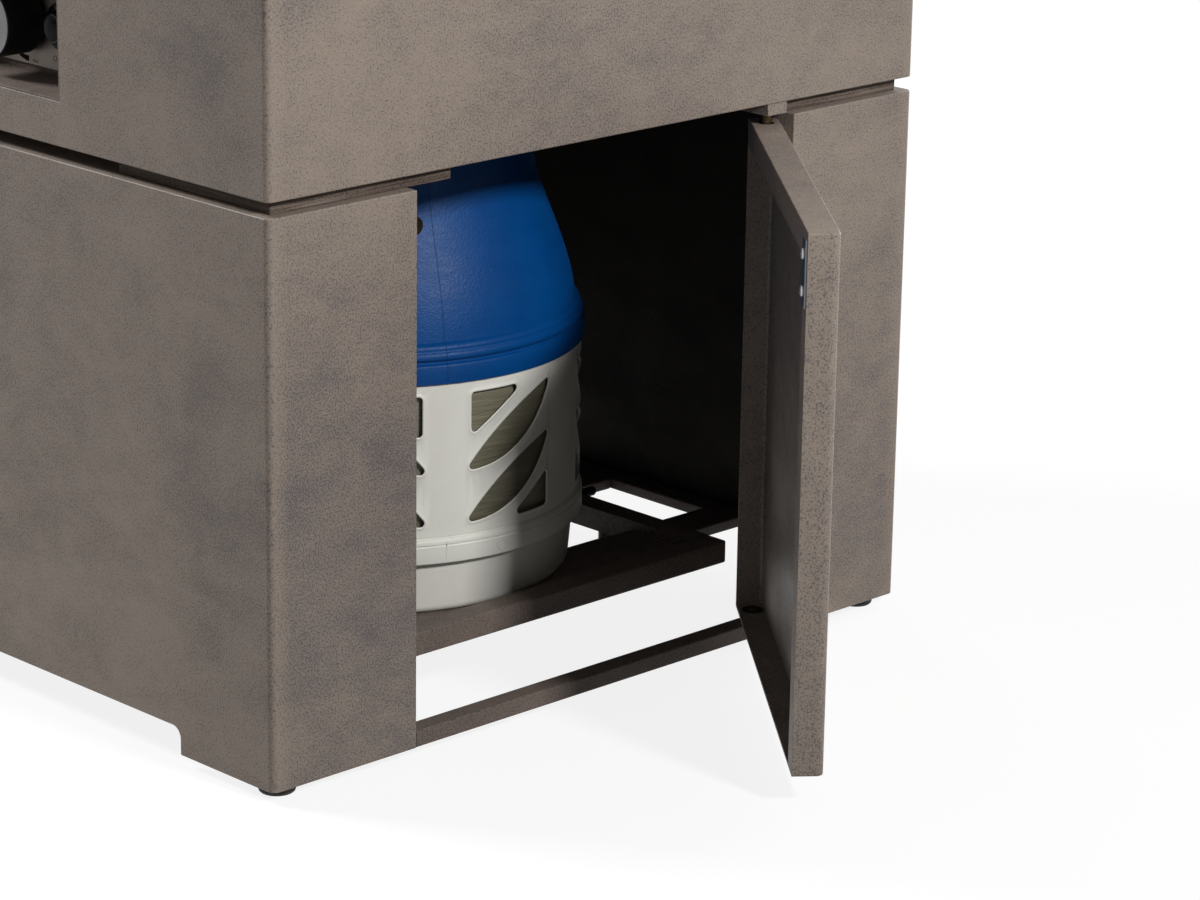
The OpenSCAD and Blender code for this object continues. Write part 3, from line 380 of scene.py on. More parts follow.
def spread(name: str, master: Solid, places: Sequence[Matrix]) -> Solid:
    """Copies a piece made at the origin to several places.

    Args:
        name: name of the joined copies.
        master: the piece to copy, used up by this.
        places: where the copies go, in metres.

    Returns:
        One piece with all the copies.
    """
    copies = []
    for place in places:
        take(master)
        bpy.ops.object.duplicate()
        copies.append(settle(bpy.context.active_object, place))
    bpy.data.objects.remove(master)
    return merge_pieces(name, copies)


def slab(name: str, low: Spot, high: Spot) -> Solid:
    """Block between its lowest and its highest corner, in millimetres."""
    middle = [(a + b) / 2 * MM for a, b in zip(low, high)]
    piece = fresh(bpy.ops.mesh.primitive_cube_add, name, size=1, location=middle)
    piece.scale = [(b - a) * MM for a, b in zip(low, high)]
    bpy.ops.object.transform_apply(location=True, rotation=True, scale=True)
    return piece


# Finishes


class NodeSheet:
    """Node tree of one finish, filled node by node."""

    def __init__(self, name: str) -> None:
        """Starts a material of a name that has only its shader."""
        self.material = bpy.data.materials.new(name)
        self.material.use_nodes = True
        self.tree = self.material.node_tree
        self.shader = self.tree.nodes["Principled BSDF"]
        self.place: Socket = self.put("ShaderNodeTexCoord").outputs["Object"]

    def feed(self, socket: Socket, value: Union[Socket, float, Sequence[float]]) -> None:
        """Links a socket to another, or sets its value."""
        if isinstance(value, bpy.types.NodeSocket):
            self.tree.links.new(value, socket)
        else:
            socket.default_value = value

    def put(self, kind: str, values: Optional[dict] = None, **fields: object) -> bpy.types.Node:
        """Adds a node.

        Args:
            kind: Blender's name of the node type.
            values: values or links of its sockets, by name or number.
            fields: values of the node's own fields.

        Returns:
            The node.
        """
        node = self.tree.nodes.new(kind)
        for key, value in fields.items():
            setattr(node, key, value)
        for key, value in (values or {}).items():
            self.feed(node.inputs[key], value)
        return node

    def noise(self, scale: float, detail: float = 4, rough: float = 0.5, warp: float = 0,
              place: Optional[Socket] = None) -> Socket:
        """Cloudy noise, with features of about one over its scale in metres."""
        return self.put("ShaderNodeTexNoise", {
            "Vector": place or self.place, "Scale": scale, "Detail": detail,
            "Roughness": rough, "Distortion": warp}).outputs[0]

    def cells(self, scale: float) -> Socket:
        """Distance to the nearest of many scattered points."""
        return self.put("ShaderNodeTexVoronoi", {
            "Vector": self.place, "Scale": scale}).outputs["Distance"]

    def stretch(self, scale: Spot, turn: Spot = (0, 0, 0), shift: Spot = (0, 0, 0),
                place: Optional[Socket] = None) -> Socket:
        """Coordinates that are shifted, turned and scaled."""
        return self.put("ShaderNodeMapping", {
            "Vector": place or self.place, "Scale": scale, "Rotation": turn,
            "Location": shift}).outputs[0]

    def level(self, value: Socket, low: float, high: float, first: float = 0,
              last: float = 1) -> Socket:
        """Value that runs from first to last while the input goes from low to high."""
        return self.put("ShaderNodeMapRange", {
            "Value": value, "From Min": low, "From Max": high, "To Min": first,
            "To Max": last}).outputs[0]

    def math(self, operation: str, first: Union[Socket, float],
             last: Union[Socket, float]) -> Socket:
        """Result of a sum on two values."""
        return self.put("ShaderNodeMath", {0: first, 1: last}, operation=operation).outputs[0]

    def ramp(self, value: Socket, stops: Sequence[tuple[float, Colour]]) -> Socket:
        """Colour that runs through the stops, each with its place from 0 to 1."""
        node = self.put("ShaderNodeValToRGB", {0: value})
        while len(node.color_ramp.elements) < len(stops):
            node.color_ramp.elements.new(0.5)
        for element, (place, colour) in zip(node.color_ramp.elements, stops):
            element.position = place
            element.color = colour
        return node.outputs[0]

    def blend(self, share: Union[Socket, float], first: Union[Socket, Colour],
              last: Union[Socket, Colour]) -> Socket:
        """Mixture of two colours, with a share of the last one."""
        return self.put("ShaderNodeMix", {0: share, 6: first, 7: last}, data_type="RGBA",
                        blend_type="MIX").outputs[2]

    def tint(self, tone: Union[Socket, Colour], value: Socket, limits: Point, share: float,
             colour: Colour) -> Socket:
        """Lays a colour over a tone, up to a share, as a value runs between its limits."""
        return self.blend(self.level(value, *limits, 0, share), tone, colour)

    def relief(self, height: Socket, strength: float, depth: float) -> None:
        """Adds a relief on top of those already there."""
        node = self.put("ShaderNodeBump", {
            "Height": height, "Strength": strength, "Distance": depth})
        normal = self.shader.inputs["Normal"]
        if normal.is_linked:
            self.feed(node.inputs["Normal"], normal.links[0].from_socket)
        self.feed(normal, node.outputs[0])

    def shade(self, values: dict) -> bpy.types.Material:
        """Sets the shader's sockets and hands out the material."""
        for key, value in values.items():
            self.feed(self.shader.inputs[key], value)
        return self.material


@dataclass(frozen=True)
class Finish:
    """Surface of a group of pieces."""

    name: str

    def material(self) -> bpy.types.Material:
        """The finish's material, made the first time that it is asked for."""
        name = "finish_" + self.name
        return bpy.data.materials.get(name) or self.make(NodeSheet(name))

    def make(self, sheet: NodeSheet) -> bpy.types.Material:
        """Fills the node tree of the finish."""
        raise NotImplementedError


@dataclass(frozen=True)
class SpeckledCoat(Finish):
    """Powder coat that looks like cast concrete: smoky clouds under a fine dark speckle."""

    pale: Colour
    middle: Colour
    smoke: Colour
    fleck: Colour
    grit: Colour
    sheen: float = 0.5
    shine: float = 0.4
    drag: float = 0
    pale_band: Point = (0.284, 0.298)
    front_skin: Point = (0.297, 0.299)
    smoky_foot: Point = (0.38, 0.22)

    def make(self, sheet: NodeSheet) -> bpy.types.Material:
        """Fills the node tree of the finish."""
        slant = sheet.stretch((1, 1, 1.7), (0, 0.6, 0))
        drift = sheet.noise(15, 6, 0.62, 0.4, slant)
        mottle = sheet.noise(210, 4, 0.6)
        fine = sheet.noise(760, 3, 0.65)
        crowd = self.crowd(sheet, drift, slant)
        tone = sheet.ramp(crowd, [(0.05, self.pale), (0.5, self.middle), (0.95, self.smoke)])
        tone = sheet.tint(tone, mottle, (0.48, 0.72), 0.25, self.smoke)
        tone = sheet.tint(tone, mottle, (0.50, 0.28), 0.25, self.pale)
        tone = sheet.tint(tone, fine, (0.50, 0.70), 0.25, self.fleck)
        tone = sheet.tint(tone, fine, (0.48, 0.30), 0.35, self.grit)
        dust = sheet.math("MULTIPLY_ADD", crowd, 0.16)
        sheet.feed(dust.node.inputs[2], sheet.noise(800, 2, 0.5))
        tone = sheet.tint(tone, dust, (0.60, 0.68), 0.75, self.fleck)
        if self.drag:
            lines = sheet.noise(1, 4, 0.65, 0.0, sheet.stretch((13, 13, 520)))
            tone = sheet.tint(tone, lines, (0.47, 0.34), self.drag, self.fleck)
            tone = sheet.tint(tone, lines, (0.52, 0.66), self.drag, self.grit)
        sheet.relief(fine, 0.10, 0.0003)
        rough = sheet.level(drift, 0.3, 0.7, self.sheen - 0.05, self.sheen + 0.12)
        return sheet.shade({
            "Base Color": tone, "Roughness": rough, "Specular IOR Level": self.shine})

    def crowd(self, sheet: NodeSheet, drift: Socket, slant: Socket) -> Socket:
        """How close the specks lie: closer low on the left stile, thinner along upright folds."""
        total = sheet.level(sheet.noise(4.5, 5, 0.55, 0.6), 0.34, 0.66, 0, 0.45)
        patches = sheet.noise(62, 5, 0.62, 0.3, slant)
        for cloud, share in ((drift, 0.28), (patches, 0.15)):
            total = sheet.math("ADD", total, sheet.level(cloud, 0.38, 0.64, 0, share))
        parts = sheet.put("ShaderNodeSeparateXYZ", {0: sheet.place}).outputs
        wide, deep = (sheet.math("ABSOLUTE", part, 0) for part in parts[:2])
        fold = sheet.math("MINIMUM", sheet.level(wide, *self.pale_band),
                          sheet.level(deep, *self.front_skin))
        # More specks, so a darker coat, towards the foot on the left half of the front and back
        # faces.
        low = sheet.math("MULTIPLY", sheet.level(parts[2], *self.smoky_foot, 0, 0.24),
                         sheet.level(deep, *self.front_skin))
        low = sheet.math("MULTIPLY", low, sheet.level(parts[0], 0, -0.17))
        total = sheet.math("ADD", total, low)
        return sheet.math("MULTIPLY", total, sheet.level(fold, 0, 1, 1, 0.35))


@dataclass(frozen=True)
class MouldedPlastic(Finish):
    """Moulded plastic with a soft grain and a few scuffs."""

    colour: Colour
    deep: Colour
    scuff: Colour
    gloss: float
    grain: float
    grain_depth: float
    scuff_share: float = 0.12
    shine: float = 0.5

    def make(self, sheet: NodeSheet) -> bpy.types.Material:
        """Fills the node tree of the finish."""
        clouds = sheet.noise(14, 4, 0.55)
        tone = sheet.tint(self.colour, clouds, (0.35, 0.68), 1, self.deep)
        rubs = sheet.noise(30, 6, 0.7, 0.8, sheet.stretch((1, 1, 4)))
        tone = sheet.tint(tone, rubs, (0.62, 0.78), self.scuff_share, self.scuff)
        sheet.relief(sheet.noise(self.grain, 2, 0.5), 0.5, self.grain_depth)
        sheet.relief(sheet.cells(self.grain * 0.55), 0.25, self.grain_depth)
        rough = sheet.level(rubs, 0.3, 0.75, self.gloss, self.gloss + 0.16)
        return sheet.shade({
            "Base Color": tone, "Roughness": rough, "Specular IOR Level": self.shine})


@dataclass(frozen=True)
class WoundFibre(Finish):
    """Glass fibre wound round a vessel in crossing layers under clear resin."""

    resin: Colour
    strand: Colour
    gap: Colour
    centre: Spot
    radius: float
    layers: tuple[Spot, ...] = (
        (0.05, 10, 1500), (-0.10, 14, 1250), (0.34, 8, 820), (-0.48, 10, 700))

    def make(self, sheet: NodeSheet) -> bpy.types.Material:
        """Fills the node tree of the finish."""
        local = sheet.stretch((1, 1, 1), (0, 0, 0), tuple(-value for value in self.centre))
        parts = sheet.put("ShaderNodeSeparateXYZ", {0: local}).outputs
        round_way = sheet.math("MULTIPLY", sheet.math("ARCTAN2", parts[1], parts[0]), self.radius)
        flat = sheet.put("ShaderNodeCombineXYZ", {0: round_way, 2: parts[2]}).outputs[0]
        wound = []
        for tilt, along, over in self.layers:
            turned = sheet.stretch((1, 1, 1), (0, tilt, 0), (0, 0, 0), flat)
            strands = sheet.stretch((along, 1, over), place=turned)
            wound.append(sheet.noise(1, 4, 0.62, 0.0, strands))
        tone = sheet.ramp(wound[0], [(0.28, self.gap), (0.49, self.resin), (0.74, self.strand)])
        cross = sheet.ramp(wound[1], [(0.30, self.gap), (0.51, self.resin), (0.76, self.strand)])
        tone = sheet.blend(0.45, tone, cross)
        for lines, share in ((wound[2], 0.55), (wound[3], 0.35)):
            tone = sheet.tint(tone, lines, (0.61, 0.72), share, self.strand)
            tone = sheet.tint(tone, lines, (0.38, 0.28), share, self.gap)
        bands = sheet.noise(9, 3, 0.5, 0.0, sheet.stretch((1, 1, 5), (0, 0.1, 0), place=flat))
        tone = sheet.tint(tone, bands, (0.42, 0.70), 0.5, self.gap)
        sheet.relief(wound[0], 0.5, 0.0004)
        sheet.relief(wound[1], 0.35, 0.0003)
        return sheet.shade({"Base Color": tone, "Roughness": 0.42, "Specular IOR Level": 0.4})


@dataclass(frozen=True)
class Metal(Finish):
    """Metal with fine drawn lines, small stains and worn polish."""

    colour: Colour
    stain: Colour
    gloss: float
    lines: Spot
    stain_share: float = 0.35
    stain_scale: float = 28

    def make(self, sheet: NodeSheet) -> bpy.types.Material:
        """Fills the node tree of the finish."""
        drawn = sheet.noise(1, 3, 0.6, 0.0, sheet.stretch(self.lines))
        clouds = sheet.noise(self.stain_scale, 6, 0.62, 0.4)
        tone = sheet.tint(self.colour, clouds, (0.46, 0.72), self.stain_share, self.stain)
        tone = sheet.tint(tone, drawn, (0.35, 0.7), 0.18, self.stain)
        sheet.relief(drawn, 0.25, 0.00012)
        rough = sheet.level(clouds, 0.3, 0.75, self.gloss, self.gloss + 0.2)
        return sheet.shade({"Base Color": tone, "Metallic": 1.0, "Roughness": rough})


@dataclass(frozen=True)
class PorousStone(Finish):
    """Lava stone with open pores and rusty flanks."""

    stone: Colour
    rust: Colour
    pore: Colour

    def make(self, sheet: NodeSheet) -> bpy.types.Material:
        """Fills the node tree of the finish."""
        clouds = sheet.noise(24, 6, 0.6, 0.4)
        tone = sheet.tint(self.stone, clouds, (0.45, 0.68), 0.75, self.rust)
        pores = sheet.cells(330)
        small = sheet.cells(820)
        tone = sheet.blend(sheet.level(pores, 0.10, 0.42, 0.85, 0), tone, self.pore)
        tone = sheet.blend(sheet.level(small, 0.08, 0.38, 0.6, 0), tone, self.pore)
        sheet.relief(sheet.level(pores, 0.0, 0.5), 0.8, 0.0016)
        sheet.relief(sheet.level(small, 0.0, 0.5), 0.6, 0.0008)
        return sheet.shade({"Base Color": tone, "Roughness": 0.92, "Specular IOR Level": 0.2})


EVEN_LINES = (300, 300, 300)
TURNED_LINES = (420, 420, 1400)

COAT = SpeckledCoat("coat_cast", srgb(142, 129, 117), srgb(132, 120, 109), srgb(114, 105, 100),
                    srgb(70, 66, 71), srgb(160, 147, 134))
# Darker copy of the coat: painted shade for the faces inside the cabinet.
SHADED_INSIDE_COAT = SpeckledCoat("coat_inside_painted_shade", srgb(36, 32, 28), srgb(32, 28, 25), srgb(27, 24, 21),
                           srgb(18, 16, 15), srgb(42, 38, 34), 0.7, 0.15)
# Darker coat of the frame bars and rails; on the recess box it is painted shade of the recess.
FRAME_AND_RECESS_SHADE_COAT = SpeckledCoat("coat_frame_and_recess_shade", srgb(118, 105, 97), srgb(108, 96, 89), srgb(92, 82, 77),
                          srgb(60, 54, 51), srgb(130, 118, 110), 0.5, 0.25)
# Coat darkened as painted shade of the shadow gap, with lengthwise streaks of grain.
SHADED_SPACER_COAT = SpeckledCoat("coat_spacer_painted_shade", srgb(98, 85, 77), srgb(90, 78, 70), srgb(78, 67, 60),
                           srgb(46, 38, 33), srgb(128, 115, 107), 0.6, 0.15, 0.75)
RUBBER = MouldedPlastic("glide_rubber", srgb(34, 33, 32), srgb(26, 25, 25), srgb(86, 82, 78),
                        0.62, 900, 0.0003)
BLACK = MouldedPlastic("black_plastic", srgb(15, 14, 14), srgb(11, 11, 11), srgb(40, 39, 38),
                       0.5, 1500, 0.00012, 0.06, 0.15)
GLOSS_BLACK = MouldedPlastic("gloss_black", srgb(12, 12, 12), srgb(9, 9, 9), srgb(38, 38, 38),
                             0.24, 1500, 0.00005, 0.06, 0.25)
LEAD = MouldedPlastic("lead_sheath", srgb(40, 39, 38), srgb(32, 31, 31), srgb(70, 68, 66),
                      0.45, 1200, 0.0001)
INK = MouldedPlastic("plate_ink", srgb(10, 10, 10), srgb(8, 8, 8), srgb(30, 29, 28),
                     0.7, 1500, 0.00005, 0.03, 0.05)
BLUE = MouldedPlastic("shroud_blue", srgb(0, 67, 128), srgb(0, 60, 119), srgb(18, 84, 146),
                      0.38, 900, 0.00042, 0.08, 0.18)
BLUE_SEAM = MouldedPlastic("shroud_seam", srgb(0, 59, 115), srgb(0, 53, 107), srgb(18, 84, 146),
                           0.5, 1500, 0.0001, 0.08, 0.15)
WHITE = MouldedPlastic("casing_white", srgb(226, 225, 217), srgb(217, 215, 206),
                       srgb(190, 186, 175), 0.42, 520, 0.00014, 0.12, 0.35)
CERAMIC = MouldedPlastic("white_ceramic", srgb(226, 222, 210), srgb(214, 209, 196),
                         srgb(150, 128, 104), 0.22, 900, 0.00008, 0.3)
ZINC = Metal("plain_steel", srgb(190, 190, 188), srgb(140, 139, 136), 0.28, EVEN_LINES, 0.4)
KEEPER = Metal("keeper_steel", srgb(104, 108, 112), srgb(74, 78, 82), 0.32, EVEN_LINES, 0.4)
CATCH = Metal("catch_dark", srgb(72, 62, 50), srgb(34, 31, 28), 0.3, EVEN_LINES, 0.6)
# Pale plate steel darkened as painted shade of the control recess.
SHADED_PLATE = Metal("plate_steel_shaded", srgb(140, 133, 125), srgb(112, 106, 99), 0.44, (40, 12, 2600), 0.3)
STAINLESS = Metal("stainless", srgb(128, 126, 122), srgb(92, 87, 81), 0.48, (14, 1500, 300), 0.5)
SCORCHED = Metal("stainless_heat", srgb(150, 138, 124), srgb(84, 72, 78), 0.34, (260, 260, 900),
                 0.8, 16)
KNOB_FACE = Metal("knob_face", srgb(112, 112, 114), srgb(88, 88, 90), 0.36, (300, 2200, 2200), 0.3)
# Brass darkened as painted shade of the pivot pins.
SHADED_BRASS = Metal("brass_shaded", srgb(74, 59, 42), srgb(50, 40, 30), 0.42, TURNED_LINES, 0.5)
BRASS = Metal("brass_turned", srgb(196, 160, 92), srgb(128, 98, 54), 0.30, TURNED_LINES, 0.45)
COPPER = Metal("copper_lead", srgb(196, 128, 88), srgb(120, 70, 48), 0.34, (400, 400, 400), 0.5)
STONE = PorousStone("lava_stone", srgb(72, 66, 63), srgb(92, 64, 52), srgb(26, 23, 22))
FIBRE = WoundFibre("wound_fibre", srgb(112, 108, 90), srgb(160, 156, 137), srgb(72, 69, 54),
                   (-0.025, -0.081, 0.0), 0.14)


def second_finish(piece: Solid, finish: Finish, test: Callable[[Face], bool]) -> None:
    """Gives the faces of a piece that pass a test another finish."""
    piece.data.materials.append(finish.material())
    with editing(piece):
        if pick(piece, Kind.FACES, test):
            piece.active_material_index = 1
            bpy.ops.object.material_slot_assign()


def hand_over(piece: Solid, finish: Finish, body: Body, *nodes: str, slot: str = "") -> Solid:
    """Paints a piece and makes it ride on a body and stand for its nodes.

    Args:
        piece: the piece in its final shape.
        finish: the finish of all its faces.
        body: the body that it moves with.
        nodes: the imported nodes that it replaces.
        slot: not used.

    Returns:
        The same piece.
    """
    piece.data.materials.clear()
    piece.data.materials.append(finish.material())
    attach(piece, body.value)
    if nodes:
        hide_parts(*nodes)
    LOG.info("%s: %d faces on %s", piece.name, len(piece.data.polygons), body.value)
    return piece


def sheet_piece(node: str, finish: Finish, edge: float = 0.4, fold: float = 0,
                body: Body = Body.TABLE) -> Solid:
    """Makes the dressed sheet, bar or small part of one node.

    Args:
        node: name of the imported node.
        finish: its finish.
        edge: width of its broken edges, in millimetres.
        fold: rounding of its folds, in millimetres.
        body: the body that it rides on.

    Returns:
        The finished piece.
    """
    piece = node_copy(node, node + "_dressed")
    if fold:
        round_folds(piece, fold * MM)
    ease_edges(piece, edge * MM)
    return hand_over(piece, finish, body, node)


def dome_head(name: str, radius: float, height: float, recess: bool) -> Solid:
    """Screw or rivet head on the origin, pointing along +Z.

    Args:
        name: name of the head.
        radius: its radius in millimetres.
        height: its height in millimetres.
        recess: whether it has a cross recess.

    Returns:
        The head.
    """
    rim = height * 0.35
    outline = [(0, 0), (radius * 0.96, 0), (radius, rim * 0.4), (radius, rim)]
    for step in range(1, 8):
        angle = step / 7 * math.pi / 2
        outline.append((radius * math.cos(angle), rim + (height - rim) * math.sin(angle)))
    head = lathe(name, outline, steps=40)
    if recess:
        long, wide, deep = radius * 0.62, radius * 0.13, height * 0.45
        for x, y in ((long, wide), (wide, long)):
            cut(head, slab("recess_bar", (-x, -y, deep), (x, y, height * 2)))
        smooth(head, 30)
    return head


# Sub-assemblies


@dataclass
class Cabinet:
    """Folded sheets of the cabinet, its glides, rivets and the spacers of the shadow gap."""

    half: float = 300
    skin: float = 298.5
    stile_back: float = -273
    back_skin: float = 280
    top: float = 388.5
    bottom: float = 27.5
    fold: float = 0.9
    edge: float = 0.5
    glide_radius: float = 12
    glide_top_radius: float = 14
    glide_height: float = 8
    glide_inset: float = 20
    rivet_radius: float = 4
    rivet_height: float = 1.5
    rivet_inset: float = 20
    rivet_rows: tuple[float, ...] = (46, 198.5, 351, 437, 542)

    def build(self) -> None:
        """Builds and dresses the cabinet."""
        for side in ("left", "right", "back"):
            self.panel("base_%s_panel" % side)
        sheet_piece("bottom_rail", FRAME_AND_RECESS_SHADE_COAT, fold=1.5)
        sheet_piece("foot_plates", FRAME_AND_RECESS_SHADE_COAT)
        # The spacers carry painted shade of the shadow gap.
        for corner in ("front_left", "front_right", "rear_left", "rear_right"):
            sheet_piece("spacer_" + corner, SHADED_SPACER_COAT, fold=1.0)
        self.glides()
        self.rivets()

    def panel(self, node: str) -> None:
        """Folds one cabinet panel, with painted shade on the faces inside the cabinet."""
        piece = sheet_piece(node, COAT, self.edge, self.fold)
        limit = self.skin * MM

        def is_inside(face: Face) -> bool:
            """Says whether a face looks into the cabinet."""
            spot = face.calc_center_median()
            if not (abs(spot.x) < limit and self.stile_back * MM < spot.y < limit):
                return False
            if face.normal.y > 0.5 and spot.y > self.back_skin * MM:
                return False
            return self.bottom * MM < spot.z < self.top * MM

        # Faces looking into the cabinet get the darker coat as painted shade.
        second_finish(piece, SHADED_INSIDE_COAT, is_inside)

    def glides(self) -> None:
        """Turns the rubber glides under the corners."""
        low, high, tall = self.glide_radius, self.glide_top_radius, self.glide_height
        outline = [(0, 0.6), (low - 3.5, 0.6), (low - 2.6, 0), (low - 0.9, 0), (low, 0.8),
                   (low + 0.5, 2.2), (low + 0.2, 2.6), (low + 0.2, 3.2), (low + 0.8, 3.6),
                   (high - 0.3, tall - 1.6), (high, tall - 1), (high, tall), (0, tall)]
        reach = self.half - self.glide_inset
        places = [move_mm(x * reach, y * reach, 0) for x in (-1, 1) for y in (-1, 1)]
        piece = spread("foot_glides_turned", lathe("glide", outline), places)
        hand_over(piece, RUBBER, Body.TABLE, "foot_glides")

    def rivets(self) -> None:
        """Sets the rivet heads on the back."""
        master = dome_head("rivet", self.rivet_radius, self.rivet_height, False)
        reach = self.half - self.rivet_inset
        places = [move_mm(x * reach, self.half, z) @ Axis.Y.stand()
                  for x in (-1, 1) for z in self.rivet_rows]
        piece = spread("back_rivet_heads", master, places)
        hand_over(piece, ZINC, Body.TABLE, "back_rivets")


@dataclass
class CylinderShelf:
    """Welded frame on the floor bars that carries the gas cylinder."""

    bar_fold: float = 1.6
    pin_radius: float = 3
    pin_start: float = 171
    pin_end: float = 194
    pin_spot: Point = (-88, 59.9)
    thread_pitch: float = 1.0

    def build(self) -> None:
        """Builds and dresses the shelf."""
        for bar in ("floor_front_bar", "floor_rear_bar", "floor_left_rail", "floor_right_rail",
                    "shelf_front_bar", "shelf_rear_bar", "shelf_left_bar", "shelf_ledges"):
            sheet_piece(bar, FRAME_AND_RECESS_SHADE_COAT, fold=self.bar_fold)
        sheet_piece("shelf_right_bar", FRAME_AND_RECESS_SHADE_COAT)
        sheet_piece("shelf_standoffs", FRAME_AND_RECESS_SHADE_COAT, 0.6)
        self.stop_pin()

    def stop_pin(self) -> None:
        """Turns the threaded sleeve over the stop pin."""
        root, crest = self.pin_radius + 0.1, self.pin_radius + 0.6
        outline = [(0, 0), (self.pin_radius + 0.2, 0)]
        height = 1.0
        while height < self.pin_end - self.pin_start - 1.5:
            outline += [(root, height), (crest, height + 0.35), (crest, height + 0.5),
                        (root, height + 0.85)]
            height += self.thread_pitch
        length = self.pin_end - self.pin_start + 0.2
        outline += [(root, length - 0.6), (self.pin_radius - 0.5, length), (0, length)]
        place = move_mm(self.pin_start, *self.pin_spot) @ Axis.X.stand()
        piece = lathe("shelf_stop_pin_thread", outline, place, 24)
        hand_over(piece, BLACK, Body.TABLE, slot="plain_steel")


@dataclass
class DoorLeaf:
    """Door pan on its two pivots, with its keeper, screws and catch."""

    pivot: Point = (158.5, -289.5)
    opened: float = 50
    keeper_x: float = -154.5
    keeper_face: float = -277.5
    screw_heights: Point = (345, 369)
    screw_radius: float = 3.5
    screw_height: float = 2.2
    screw_turn: float = 0.4
    ends: Point = (22.5, 383.5)
    sheet: float = 2
    pin_radius: float = 4
    sleeve_radius: float = 5.95
    collar_radius: float = 7.8
    rail_top: float = 20
    washer: float = 2.2
    washer_radius: float = 6
    fold: float = 0.9
    edge: float = 0.45

    def hung(self) -> Matrix:
        """Place of the opened door, from where it hangs closed."""
        x, y = self.pivot
        return move_mm(x, y, 0) @ spin_z(math.radians(self.opened)) @ move_mm(-x, -y, 0)

    def build(self) -> None:
        """Builds and dresses the door and what it hangs on."""
        sheet_piece("door_pan", COAT, self.edge, self.fold, Body.DOOR)
        sheet_piece("keeper_plate", KEEPER, 0.35, 0, Body.DOOR)
        self.bushes()
        self.screws()
        sheet_piece("pivot_block", COAT, 0.6)
        sheet_piece("pivot_pin_top", SHADED_BRASS, 0.5)
        self.bottom_pin()
        sheet_piece("catch_bracket", FRAME_AND_RECESS_SHADE_COAT, fold=1.2)
        magnet = sheet_piece("catch_magnet", BLACK, 0.5)
        second_finish(magnet, CATCH, lambda face: face.normal.y < -0.9)

    def bushes(self) -> None:
        """Turns the flat bushes in the two flanges of the door."""
        bore, sleeve, collar = self.pin_radius + 0.05, self.sleeve_radius, self.collar_radius
        sheet = self.sheet
        outline = [(bore, 0.3), (bore + 0.3, 0), (sleeve, 0), (sleeve, sheet),
                   (collar - 0.2, sheet), (collar, sheet + 0.2), (collar, sheet + 0.5),
                   (collar - 0.4, sheet + 0.8), (bore + 0.4, sheet + 0.8), (bore, sheet + 0.5),
                   (bore, 0.3)]
        low, high = self.ends
        places = [move_mm(*self.pivot, low),
                  move_mm(*self.pivot, high) @ Matrix.Rotation(math.pi, 4, "X")]
        piece = spread("door_bushes_turned", lathe("bush", outline), places)
        hand_over(piece, BLACK, Body.DOOR, "door_bushes")

    def bottom_pin(self) -> None:
        """Turns the short pin on the rail with the washer that carries the door."""
        r, wide, gap = self.pin_radius, self.washer_radius, self.washer
        outline = [(0, 0), (wide, 0), (wide, gap - 0.3), (wide - 0.3, gap), (r, gap),
                   (r, gap + 2.4), (r - 0.5, gap + 2.9), (0, gap + 2.9)]
        piece = lathe("pivot_pin_bottom_turned", outline, move_mm(*self.pivot, self.rail_top))
        hand_over(piece, SHADED_BRASS, Body.TABLE, "pivot_pin_bottom")

    def screws(self) -> None:
        """Sets the two screws of the keeper plate."""
        master = dome_head("keeper_screw", self.screw_radius, self.screw_height, True)
        places = [self.hung() @ move_mm(self.keeper_x, self.keeper_face, z) @ Axis.Y.stand()
                  @ spin_z(self.screw_turn + z) for z in self.screw_heights]
        piece = spread("keeper_screw_heads", master, places)
        hand_over(piece, ZINC, Body.DOOR, "keeper_screws")


@dataclass
class Housing:
    """Burner housing with its top sheet and the recess for the controls."""

    fold: float = 1.0
    top_fold: float = 2.2
    edge: float = 0.5

    def build(self) -> None:
        """Builds and dresses the housing."""
        sheet_piece("housing_wrap", COAT, self.edge, self.fold)
        sheet_piece("housing_back_panel", COAT, self.edge, self.fold)
        sheet_piece("table_top", COAT, self.edge, self.top_fold)
        # The recess box takes the darker coat as painted shade inside the recess.
        sheet_piece("recess_box", FRAME_AND_RECESS_SHADE_COAT)


